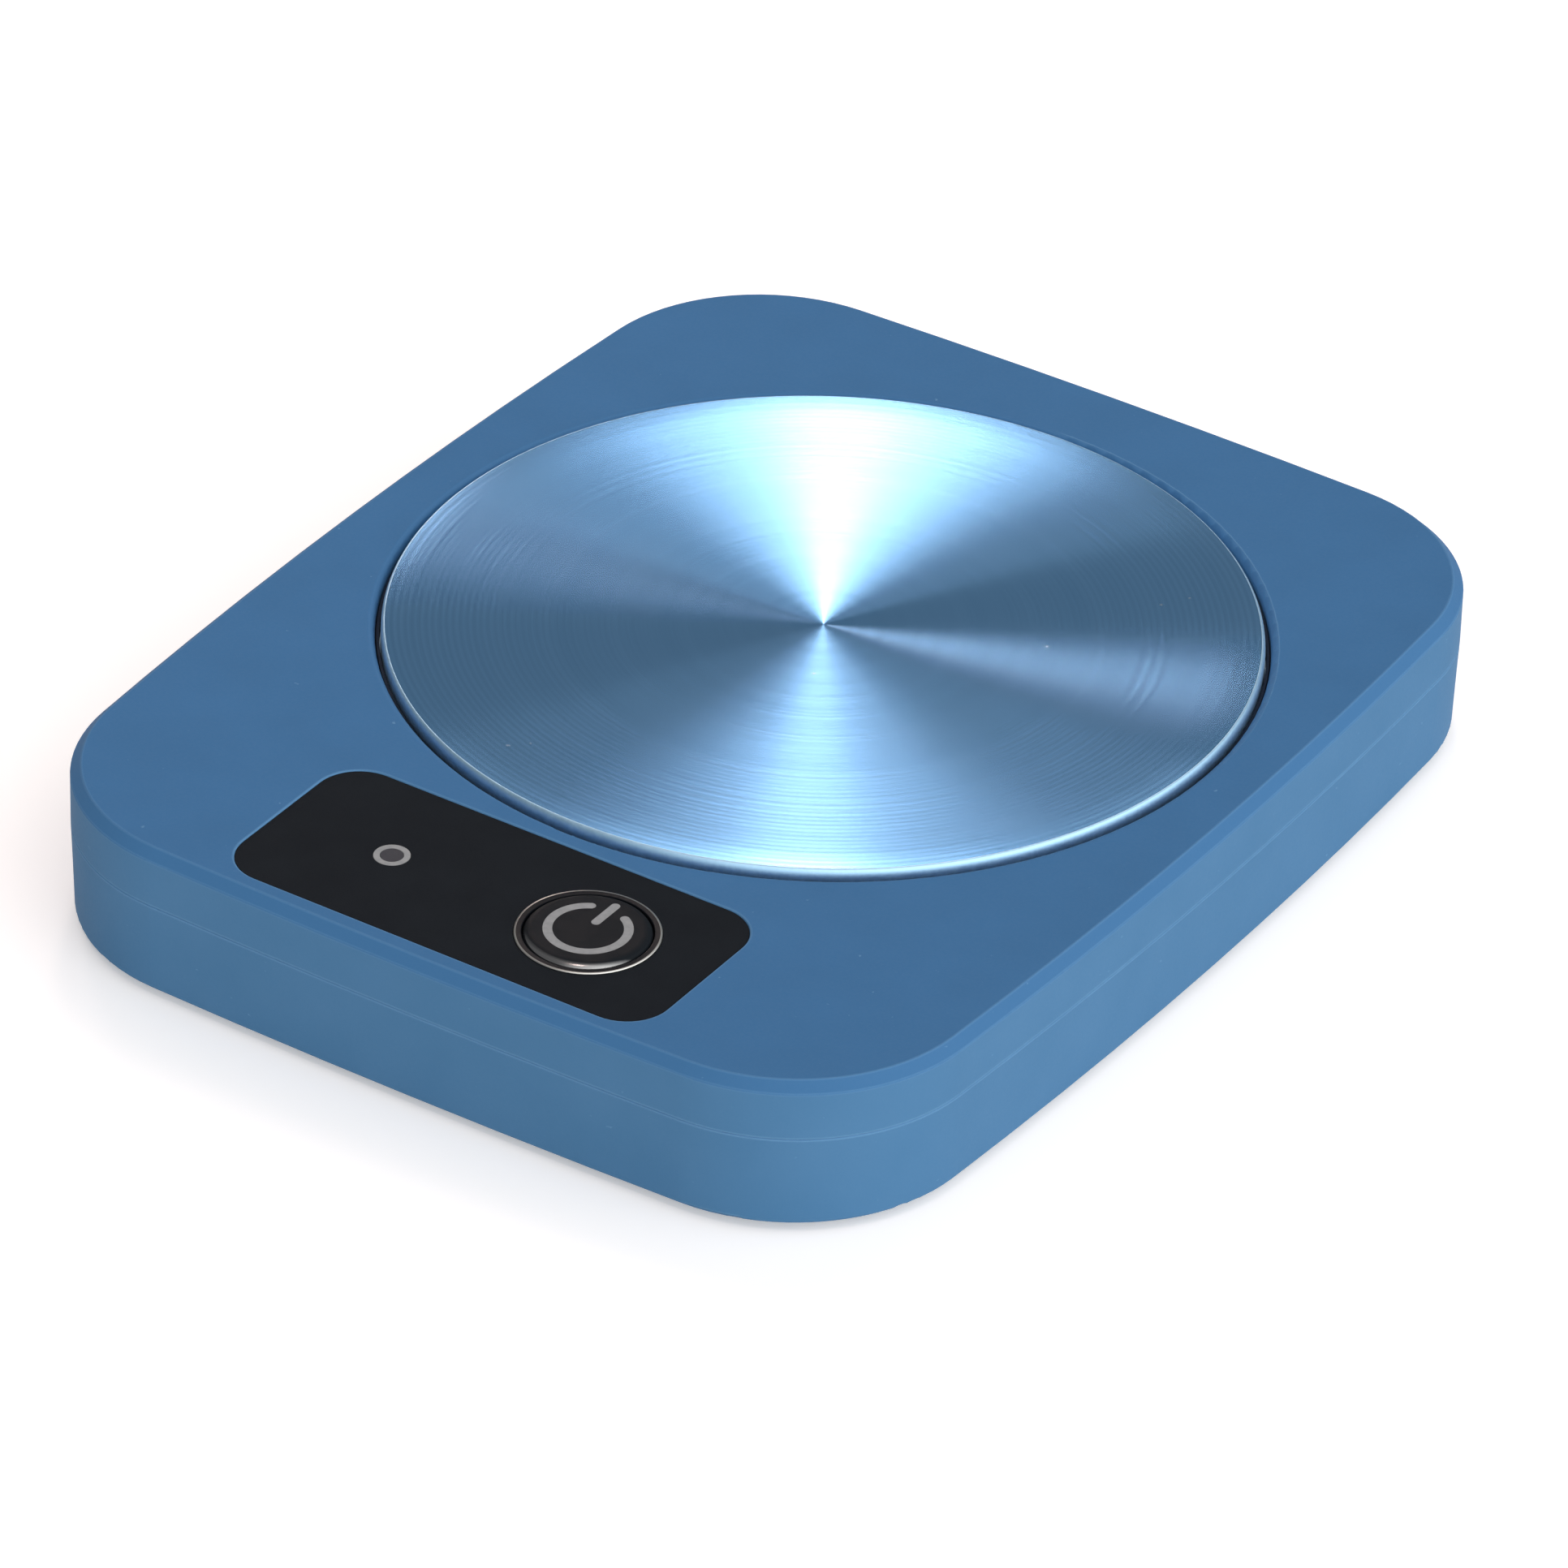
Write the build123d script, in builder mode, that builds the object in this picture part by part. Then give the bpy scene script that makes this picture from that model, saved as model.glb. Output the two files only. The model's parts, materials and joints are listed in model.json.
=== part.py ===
"""Electric mug warmer: a low case with a round heating plate and a control panel.

Millimetres. +Z is up, the feet stand on Z = 0, the control panel is towards -Y,
and the origin is under the middle of the case.
"""

import os
from math import atan, atan2, cos, degrees, hypot, radians, sin, sqrt, tan

from build123d import *

os.makedirs("parts", exist_ok=True)

# ---- Case --------------------------------------------------------------------
# Its length and width follow from the heating plate, the control panel and these margins.
side_margin = 7.7  # from the plate to the long sides
rear_margin = 11.75  # from the plate to the rear
panel_gap = 3.0  # between the plate and the panel
front_margin = 2.95  # from the panel to the front
case_height = 16.5  # without the feet
long_side_bow = 3.0  # how far the middle of a long side stands out from its ends
short_side_bow = 1.5
corner_radius = 20.4
seam_height = 10.15  # the parting line, above the case's underside
wall = 2.0
floor_thickness = 2.0
roof_thickness = 2.0
base_draft = 0.31  # the base is this much smaller all round at its underside
edge_chamfer = 1.1
edge_softening = 0.25
base_edge_fillet = 0.5
seam_chamfer = 0.12
seam_lip_depth = 1.5
seam_lip_thickness = 0.9

# ---- Feet and case screws ------------------------------------------------------
foot_stand = 1.2  # the feet lift the case this much
foot_radius = 5.5
foot_recess = 0.8
foot_chamfer = 0.4
foot_inset = 17.7  # from the long sides to the feet's axes
foot_end_inset = 21.0  # from the short sides
case_screw_inset = 3.5  # from the inner corner wall to the screw's axis
case_screw_radius = 1.5
case_screw_length = 9.0
case_screw_head_radius = 2.8
case_screw_head_height = 1.9
counterbore_depth = 2.5
column_wall = 1.1  # round the counterbore
column_height = 6.8  # above the case's underside
boss_wall = 1.7  # round a screw's pilot hole

# ---- Clearances ----------------------------------------------------------------
seat_gap = 0.05  # between pieces that are seated in each other
loose_gap = 0.1  # between pieces that are dropped in or just miss each other
running_gap = 0.08  # between the button and the bezel's bore
screw_end_gap = 0.3  # under the end of a screw in a blind hole
level_tolerance = 0.001  # for picking the edges of one level
drive_width = 0.7  # width of the cross recess in a screw's head
drive_depth = 0.6

# ---- Heating plate -------------------------------------------------------------
plate_radius = 45.0
plate_proud = 0.55
plate_thickness = 2.5
plate_chamfer = 0.5
plate_skirt = 2.5  # wall of the plate's hollow underside
flange_width = 3.5
flange_thickness = 1.0
groove_width = 0.6  # open ring between the plate and the roof
opening_lip_radius = 0.8
gasket_thickness = 0.8
gasket_gap = 0.15
drip_lip_height = 1.0
locating_rib = 1.6
locating_gap = 0.4
retainer_thickness = 1.2
retainer_cover = 1.0  # the retaining ring reaches this far past the flange
retainer_inner_margin = 0.5  # from the plate's hollow to the ring
retainer_screw_count = 4
retainer_screw_start = 45  # degrees from +X to the first one
retainer_screw_radius = 1.3
retainer_screw_length = 3.9
retainer_head_radius = 2.4
retainer_head_height = 1.5
retainer_ear_radius = 4.0
boss_overlap = 0.4  # of a boss and the rib beside it

# ---- Heater stack --------------------------------------------------------------
heater_margin = 1.0  # between the heater and the plate's skirt
mica_thickness = 0.3
track_thickness = 0.1
track_width = 2.4
track_pitch = 3.5
track_turns = 5
track_edge = 3.0  # from the mica's edge to the outer turn
track_gap_angle = 8.0  # half of the break in the turns, in degrees
pad_thickness = 1.0
clamp_plate_thickness = 1.0
clamp_plate_margin = 2.5
stud_margin = 4.5  # from the track's inner turn to the studs' circle
stud_count = 3
stud_start = 30  # degrees from +X to the first one
stud_radius = 1.5
stud_seat = 1.5  # depth of the stud's hole in the plate
stud_end = 0.9  # past the nut
nut_across_flats = 5.5
nut_sides = 6
nut_height = 2.4
washer_radius = 3.4
washer_thickness = 0.6
notch_width = 24.0  # at the front of the pad and the clamp plate
notch_depth = 10.0
terminal_width = 3.0
terminal_thickness = 0.5
terminal_leg_shift = 1.0  # from the tab's middle to the leg
crimp_radius = 1.2
crimp_length = 3.6

# ---- Fuse, sensor and their bracket --------------------------------------------
fuse_radius = 1.8  # over its insulating sleeve
fuse_length = 9.0
fuse_lead_radius = 0.5
fuse_lead_length = 2.5
splice_radius = 1.2
splice_length = 4.0
sensor_shift = 8.6  # from the fuse's axis to the thermistor's
sensor_radius = 1.1
sensor_length = 6.0
bracket_thickness = 0.5
bracket_width = 4.0
bracket_screw_radius = 1.0
bracket_screw_head_radius = 1.8
bracket_screw_head_height = 1.2

# ---- Control panel, button and indicator ---------------------------------------
panel_width = 50.2
panel_depth = 22.4
panel_corner = 4.7
panel_thickness = 0.9
panel_sink = 0.1  # below the roof
panel_lip_radius = 0.2  # of the roof's edge round the panel
bezel_radius = 7.3
bezel_ring_width = 0.8
bezel_proud = 0.15
bezel_sleeve_wall = 0.5
bezel_softening = 0.12
button_inset = 13.6  # from the panel's right edge to the button's axis
button_proud = 0.5
button_edge_radius = 0.95
button_crown = 1.2  # thickness of the cap's top
button_skirt = 1.2
button_flange_radius = 7.9
button_flange_thickness = 0.9
button_travel = 0.4
stem_radius = 1.6
key_width = 1.6
key_reach = 1.0
guide_wall = 1.2
guide_gap = 0.3
guide_overlap = 0.8  # of the guide and the pressed button's flange
symbol_radius = 4.45
symbol_stroke = 0.95
symbol_gap_angle = 60.0  # the break at the top of the ring, in degrees
symbol_bar_low = 0.9
symbol_bar_high = 5.2
symbol_depth = 0.3
indicator_inset = 13.25  # from the panel's left edge
indicator_ring_radius = 1.85
indicator_ring_depth = 0.4
light_guide_radius = 1.15
light_guide_collar_radius = 2.1
light_guide_collar_height = 1.0
light_guide_foot_radius = 1.6
light_guide_gap = 0.3  # above the LED

# ---- Control board --------------------------------------------------------------
board_front_gap = 1.5  # from the front wall
board_plate_gap = 0.8  # from the board's rear edge to below the plate's
board_thickness = 1.6
board_stand = 3.2  # height of the standoffs
board_screw_inset = 3.4  # from the board's long edges
board_screw_end_inset = 3.0
board_screw_radius = 1.0
board_screw_length = 4.2
board_screw_head_radius = 1.9
board_screw_head_height = 1.3
standoff_wall = 1.5
switch_size = 6.0
switch_height = 3.5
switch_floor = 0.8
switch_wall = 0.4
switch_frame_thickness = 0.3
plunger_radius = 1.75
plunger_proud = 0.8
plunger_flange_radius = 2.4
plunger_flange_thickness = 0.7
plunger_foot_radius = 0.8
dome_radius = 2.3
dome_height = 0.5
dome_thickness = 0.12
led_width = 3.2
led_depth = 1.6
led_height = 0.9
chip_length = 8.65
chip_depth = 3.9
chip_height = 1.5
chip_lift = 0.15
chip_inset = 7.55  # from the board's front edge, as below
pin_count = 7
pin_pitch = 1.27
pin_width = 0.4
pin_thickness = 0.2
pin_reach = 1.05
transistor_inset = 14.55
transistor_side_inset = 10.0  # from the board's left edge
transistor_width = 6.6
transistor_depth = 6.1
transistor_height = 2.3
capacitor_inset = 6.05
capacitor_side_inset = 10.5  # from the board's left edge
capacitor_radius = 3.15
capacitor_height = 5.8
capacitor_foot = 0.8
inductor_inset = 8.05
inductor_side_inset = 9.5  # from the board's right edge
inductor_size = 6.0
inductor_height = 3.0
inductor_corner = 1.2
resistor_length = 2.0
resistor_width = 1.25
resistor_height = 0.6
resistor_pitch = 3.0
resistor_rows = 2
resistor_columns = 4
resistors_inset = 14.05
resistors_shift = 4.5  # to the left of the chip's middle

# ---- Headers, plugs and leads ----------------------------------------------------
header_depth = 4.6
header_height = 4.2
header_wall = 0.6
plug_insertion = 3.6
plug_proud = 1.2
plug_side = 0.4  # of the plug's plastic beside its outer leads
supply_plug_shift = 8.0  # from the sensor plug's middle to the supply plug's
supply_plug_inset = 10.0  # from there to the board's right edge
heater_pitch = 2.6
sensor_pitch = 1.5
supply_pitch = 2.5
heater_lead_radius = 0.9
sensor_lead_radius = 0.5
supply_lead_radius = 0.8
return_lead_run = 13.2  # how far the fused heater lead goes back from its splice
return_lead_side = 6.5  # and how far beside its place in the plug it comes forward
return_lead_turn = 15.5  # behind the board, where it turns in towards its plug
return_lead_end = 6.0  # behind the board, where it is in line with its plug
sensor_lead_run = 4.2  # from the thermistor to where its leads go down
sensor_lead_end = 5.5
supply_lead_side = 6.0  # the supply leads run this far beside their plug
supply_lead_run = 3.0  # from the inlet board to where they turn out to the side
supply_lead_out = 30.0  # from there to where they are at the side
supply_lead_turn = 16.5
supply_lead_end = 6.5
bend_share = 0.45  # of the shorter run beside a bend
rib_thickness = 1.5
rib_spacing = 38.0
rib_length = 72.0
vent_length = 22.0
vent_width = 2.2
vent_pitch = 6.0
vent_count = 6

# ---- Power inlet -----------------------------------------------------------------
inlet_stand = 0.97  # under the inlet board
inlet_board_width = 16.0
inlet_board_depth = 15.5
inlet_board_thickness = 1.0
inlet_board_gap = 0.5  # from the rear wall
inlet_width = 8.94
inlet_height = 3.26
inlet_depth = 7.35
inlet_shell_wall = 0.3
inlet_setback = 0.5  # behind the outer face of the wall
inlet_opening_gap = 0.2
tongue_width = 6.7
tongue_thickness = 0.7
tongue_length = 5.6
inlet_screw_x = 5.5
inlet_screw_y_inset = 3.5  # from the board's inner edge
inlet_screw_length = 2.6
inlet_rest_inset = 3.0  # from the board's rear edge to the rib under it
inlet_rest_width = 12.0
pad_inset = 3.0  # how far the supply leads reach over the inlet board

# ---- Levels and places that follow -------------------------------------------------
case_width = 2 * (plate_radius + side_margin)  # across X, at the middle of the long sides
case_length = front_margin + panel_depth + panel_gap + 2 * plate_radius + rear_margin
plate_shift = case_length / 2 - rear_margin - plate_radius  # the plate's axis, from the middle
panel_y = front_margin + panel_depth / 2 - case_length / 2
button_x = panel_width / 2 - button_inset
indicator_x = indicator_inset - panel_width / 2

case_bottom = foot_stand
case_top = case_bottom + case_height
seam = case_bottom + seam_height
floor_top = case_bottom + floor_thickness
roof_bottom = case_top - roof_thickness

plate_top = case_top + plate_proud
flange_top = roof_bottom - gasket_thickness
flange_bottom = flange_top - flange_thickness
flange_radius = plate_radius + flange_width
opening_radius = plate_radius + groove_width
pocket_radius = plate_radius - plate_skirt
pocket_top = plate_top - plate_thickness
retainer_bottom = flange_bottom - retainer_thickness
rib_inner_radius = flange_radius + locating_gap
rib_outer_radius = rib_inner_radius + locating_rib
retainer_boss_radius = retainer_screw_radius + boss_wall
retainer_screw_circle = rib_outer_radius + retainer_boss_radius - boss_overlap

heater_radius = pocket_radius - heater_margin
track_top = pocket_top - mica_thickness
lower_mica_top = track_top - track_thickness
lower_mica_bottom = lower_mica_top - mica_thickness
clamp_plate_top = lower_mica_bottom - pad_thickness
clamp_plate_bottom = clamp_plate_top - clamp_plate_thickness
clamp_plate_radius = heater_radius - clamp_plate_margin
stud_hole_radius = stud_radius + loose_gap
nut_top = clamp_plate_bottom - washer_thickness
stud_bottom = nut_top - nut_height - stud_end
track_radius = heater_radius - track_edge
inner_track_radius = track_radius - (track_turns - 1) * track_pitch
stud_circle = inner_track_radius - stud_margin
terminal_x = track_radius * sin(radians(track_gap_angle))
terminal_y = plate_shift - track_radius * cos(radians(track_gap_angle))
fuse_level = clamp_plate_bottom - fuse_radius - seat_gap
sensor_level = clamp_plate_bottom - sensor_radius - seat_gap
leg_y = terminal_y + terminal_leg_shift
fuse_lead_start = leg_y + crimp_length
fuse_start = fuse_lead_start + fuse_lead_length
splice_start = fuse_start + fuse_length + fuse_lead_length
splice_end = splice_start + splice_length
sensor_x = terminal_x + sensor_shift
bracket_y = fuse_start + fuse_length / 2
fuse_clip_edge = terminal_x + fuse_radius + loose_gap + bracket_thickness
sensor_clip_edge = sensor_x - sensor_radius - loose_gap - bracket_thickness
bracket_screw_x = (fuse_clip_edge + sensor_clip_edge) / 2

panel_top = case_top - panel_sink
recess_level = panel_top - panel_thickness
bezel_top = panel_top + bezel_proud
bezel_bore = bezel_radius - bezel_ring_width
bezel_sleeve_radius = bezel_bore + bezel_sleeve_wall
button_radius = bezel_bore - running_gap
button_top = panel_top + button_proud
button_flange_top = roof_bottom - loose_gap
button_flange_bottom = button_flange_top - button_flange_thickness
guide_radius = button_flange_radius + guide_gap
guide_bottom = button_flange_bottom - button_travel - guide_overlap

supply_plug_x = sensor_x + supply_plug_shift
board_width = 2 * (supply_plug_x + supply_plug_inset)
board_front = -case_length / 2 + wall + board_front_gap
board_back = plate_shift - plate_radius - board_plate_gap
board_depth = board_back - board_front
board_y = (board_back + board_front) / 2
board_screw_x = board_width / 2 - board_screw_end_inset
board_bottom = floor_top + board_stand
board_top = board_bottom + board_thickness
switch_top = board_top + switch_height
plunger_top = switch_top + plunger_proud
plunger_flange_top = switch_top - switch_frame_thickness - seat_gap
plunger_flange_bottom = plunger_flange_top - plunger_flange_thickness
dome_level = board_top + switch_floor
led_top = board_top + led_height
connector_level = board_top + header_height / 2
plug_back = board_back + plug_proud
heater_plug_x = -terminal_x - heater_pitch / 2
supply_lead_x = supply_plug_x + supply_lead_side

inlet_board_bottom = floor_top + inlet_stand
inlet_board_top = inlet_board_bottom + inlet_board_thickness
inlet_level = inlet_board_top + inlet_height / 2
inlet_board_back = case_length / 2 - wall - inlet_board_gap
inlet_board_front = inlet_board_back - inlet_board_depth
inlet_screw_y = inlet_board_front + inlet_screw_y_inset
draft_at_inlet = base_draft * (seam - inlet_level) / seam_height
inlet_face = case_length / 2 - draft_at_inlet - inlet_setback
supply_lead_level = inlet_board_top + supply_lead_radius + seat_gap
supply_lead_start = inlet_board_front - supply_lead_run

plate_axis = Plane((0, plate_shift, 0))
panel_plane = Plane((0, panel_y, 0))
button_axis = Plane((button_x, panel_y, 0))
indicator_axis = Plane((indicator_x, panel_y, 0))
inlet_plane = Plane((0, inlet_face, inlet_level), x_dir=(1, 0, 0), z_dir=(0, -1, 0))

# ---- Outline of the case -----------------------------------------------------------
# Each side is an arc, and each corner is an arc tangent to its two sides.
long_side_radius = ((case_length / 2) ** 2 + long_side_bow**2) / (2 * long_side_bow)
short_side_radius = ((case_width / 2) ** 2 + short_side_bow**2) / (2 * short_side_bow)
long_side_centre = case_width / 2 - long_side_radius  # on the X axis
short_side_centre = case_length / 2 - short_side_radius  # on the Y axis

# The corner's centre is where two circles cross: each is a side's arc, drawn smaller
# by the corner's radius.
reach_x = long_side_radius - corner_radius
reach_y = short_side_radius - corner_radius
centres_apart = hypot(long_side_centre, short_side_centre)
along = (reach_x**2 - reach_y**2 + centres_apart**2) / (2 * centres_apart)
across = sqrt(reach_x**2 - along**2)
corner_x = long_side_centre * (1 - along / centres_apart) - across * short_side_centre / centres_apart
corner_y = along * short_side_centre / centres_apart - across * long_side_centre / centres_apart
corner_start = degrees(atan2(corner_y, corner_x - long_side_centre))
corner_end = degrees(atan2(corner_y - short_side_centre, corner_x))


def case_outline(inset=0):
    """Sketch of the case's outline, drawn in from the widest outline by inset."""
    corner_turn = corner_end - corner_start
    with BuildSketch() as outline:
        with BuildLine():
            for side, half in ((1, 0), (-1, 180)):
                CenterArc(
                    (side * long_side_centre, 0),
                    long_side_radius - inset,
                    half - corner_start,
                    2 * corner_start,
                )
                CenterArc(
                    (side * corner_x, side * corner_y),
                    corner_radius - inset,
                    half + corner_start,
                    corner_turn,
                )
                CenterArc(
                    (0, side * short_side_centre),
                    short_side_radius - inset,
                    half + corner_end,
                    180 - 2 * corner_end,
                )
                CenterArc(
                    (-side * corner_x, side * corner_y),
                    corner_radius - inset,
                    half + 180 - corner_end,
                    corner_turn,
                )
        make_face()
    return outline.sketch


def bend_radii(points):
    """The largest easy bend at each inner point of a route of straight runs."""
    runs = [Vector(b) - Vector(a) for a, b in zip(points, points[1:])]
    return [
        bend_share * min(a.length, b.length) / tan(radians(a.get_angle(b)) / 2)
        for a, b in zip(runs, runs[1:])
    ]


def edges_at(piece, level):
    """Edges that lie flat at a level."""
    return piece.edges().filter_by_position(Axis.Z, level - level_tolerance, level + level_tolerance)


def around_plate(radius, count, start):
    """Points on a circle round the plate's axis, from start degrees."""
    turns = [radians(start + 360 * number / count) for number in range(count)]
    return [(radius * cos(turn), plate_shift + radius * sin(turn)) for turn in turns]


def four_corners(x, y, middle_y=0):
    """The corners of a rectangle centred on X = 0 and Y = middle_y."""
    return [(side * x, middle_y + end * y) for side in (-1, 1) for end in (-1, 1)]


def pan_head_screws(points, seat, shank_radius, shank_length, head_radius, head_height, shank_up):
    """Pan-head screws whose heads sit on the level seat, shanks up or down."""
    way = 1 if shank_up else -1
    crown = seat - way * head_height
    with BuildPart() as group:
        with BuildSketch(Plane.XY.offset(seat)):
            with Locations(*points):
                Circle(head_radius)
        extrude(amount=-way * head_height)
        fillet(edges_at(group, crown), head_height / 2)
        with BuildSketch(Plane.XY.offset(seat)):
            with Locations(*points):
                Circle(shank_radius)
        extrude(amount=way * shank_length)
        with BuildSketch(Plane.XY.offset(crown)):
            with Locations(*points):
                Rectangle(head_radius, drive_width)
                Rectangle(drive_width, head_radius)
        extrude(amount=way * drive_depth, mode=Mode.SUBTRACT)
    return group.part


# ---- Places of screws and feet -------------------------------------------------------
# The case screws stand on the diagonals of the corners, close to the inner wall.
corner_reach = (corner_radius - wall - case_screw_inset) * sqrt(0.5)
case_screw_points = four_corners(corner_x + corner_reach, corner_y + corner_reach)
case_screw_seat = case_bottom + counterbore_depth
case_screw_end = case_screw_seat + case_screw_length
column_top = case_bottom + column_height
column_radius = case_screw_head_radius + loose_gap + column_wall
case_boss_radius = case_screw_radius + boss_wall
case_boss_bottom = column_top + loose_gap
foot_points = four_corners(case_width / 2 - foot_inset, case_length / 2 - foot_end_inset)
retainer_screw_points = around_plate(
    retainer_screw_circle, retainer_screw_count, retainer_screw_start
)
retainer_screw_end = retainer_bottom + retainer_screw_length
stud_points = around_plate(stud_circle, stud_count, stud_start)
board_screw_points = four_corners(board_screw_x, board_depth / 2 - board_screw_inset, board_y)
inlet_screw_points = [(-inlet_screw_x, inlet_screw_y), (inlet_screw_x, inlet_screw_y)]

# ---- Power symbol --------------------------------------------------------------------
symbol_arc = CenterArc(
    (0, 0),
    symbol_radius - symbol_stroke / 2,
    90 + symbol_gap_angle / 2,
    360 - symbol_gap_angle,
)
with BuildSketch(button_axis.offset(button_top)) as symbol_outline:
    SlotArc(symbol_arc, symbol_stroke)
    with Locations((0, (symbol_bar_low + symbol_bar_high) / 2)):
        SlotOverall(symbol_bar_high - symbol_bar_low, symbol_stroke, rotation=90)

# ---- Top cover -----------------------------------------------------------------------
with BuildPart() as top_cover:
    with BuildSketch(Plane.XY.offset(seam)):
        add(case_outline())
    extrude(amount=case_top - seam)
    chamfer(edges_at(top_cover, case_top), edge_chamfer)
    chamfer_edges = edges_at(top_cover, case_top) + edges_at(top_cover, case_top - edge_chamfer)
    fillet(chamfer_edges, edge_softening)
    chamfer(edges_at(top_cover, seam), seam_chamfer)
    with BuildSketch(Plane.XY.offset(seam)):
        add(case_outline(wall))
    extrude(amount=roof_bottom - seam, mode=Mode.SUBTRACT)
    # Lip that drops into the base.
    with BuildSketch(Plane.XY.offset(seam)):
        add(case_outline(wall - seam_lip_thickness))
        add(case_outline(wall), mode=Mode.SUBTRACT)
    extrude(amount=-seam_lip_depth)
    # Rib that centres the plate's flange.
    with BuildSketch(plate_axis.offset(roof_bottom)):
        Circle(rib_outer_radius)
        Circle(rib_inner_radius, mode=Mode.SUBTRACT)
    extrude(amount=flange_bottom - roof_bottom)
    # Bosses of the retaining ring.
    with BuildSketch(Plane.XY.offset(flange_bottom)):
        with Locations(*retainer_screw_points):
            Circle(retainer_boss_radius)
    extrude(amount=roof_bottom - flange_bottom)
    # Bosses of the case screws.
    with BuildSketch(Plane.XY.offset(case_boss_bottom)):
        with Locations(*case_screw_points):
            Circle(case_boss_radius)
    extrude(amount=roof_bottom - case_boss_bottom)
    # Collar round the button's flange, with a slot for its key.
    with BuildSketch(button_axis.offset(roof_bottom)):
        Circle(guide_radius + guide_wall)
        Circle(guide_radius, mode=Mode.SUBTRACT)
        with Locations((0, -guide_radius - guide_wall / 2)):
            Rectangle(key_width + 2 * loose_gap, 2 * guide_wall, mode=Mode.SUBTRACT)
    extrude(amount=guide_bottom - roof_bottom)
    # Opening for the heating plate, with a rounded lip.
    with BuildSketch(plate_axis.offset(roof_bottom)):
        Circle(opening_radius)
    extrude(amount=roof_thickness, mode=Mode.SUBTRACT)
    opening_edge = edges_at(top_cover, case_top).filter_by(lambda edge: edge.is_closed)
    fillet(opening_edge, opening_lip_radius)
    # Recess for the control panel, and the holes under it.
    with BuildSketch(panel_plane.offset(recess_level)):
        RectangleRounded(
            panel_width + 2 * seat_gap,
            panel_depth + 2 * seat_gap,
            panel_corner + seat_gap,
        )
    extrude(amount=case_top - recess_level, mode=Mode.SUBTRACT)
    lip_x = panel_width / 2 + loose_gap
    lip_y = panel_depth / 2 + loose_gap
    lip_edges = edges_at(top_cover, case_top).filter_by_position(Axis.X, -lip_x, lip_x)
    fillet(lip_edges.filter_by_position(Axis.Y, panel_y - lip_y, panel_y + lip_y), panel_lip_radius)
    with BuildSketch(button_axis.offset(roof_bottom)):
        Circle(bezel_sleeve_radius + seat_gap)
    extrude(amount=roof_thickness, mode=Mode.SUBTRACT)
    with BuildSketch(indicator_axis.offset(roof_bottom)):
        Circle(light_guide_radius + seat_gap)
    extrude(amount=roof_thickness, mode=Mode.SUBTRACT)
    # Pilot holes.
    with BuildSketch(Plane.XY.offset(case_boss_bottom)):
        with Locations(*case_screw_points):
            Circle(case_screw_radius + seat_gap)
    extrude(amount=case_screw_end + screw_end_gap - case_boss_bottom, mode=Mode.SUBTRACT)
    with BuildSketch(Plane.XY.offset(flange_bottom)):
        with Locations(*retainer_screw_points):
            Circle(retainer_screw_radius + seat_gap)
    extrude(amount=retainer_screw_end + screw_end_gap - flange_bottom, mode=Mode.SUBTRACT)
top_cover.part.label = "top_cover"
export_step(top_cover.part, "parts/top_cover.step")

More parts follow.
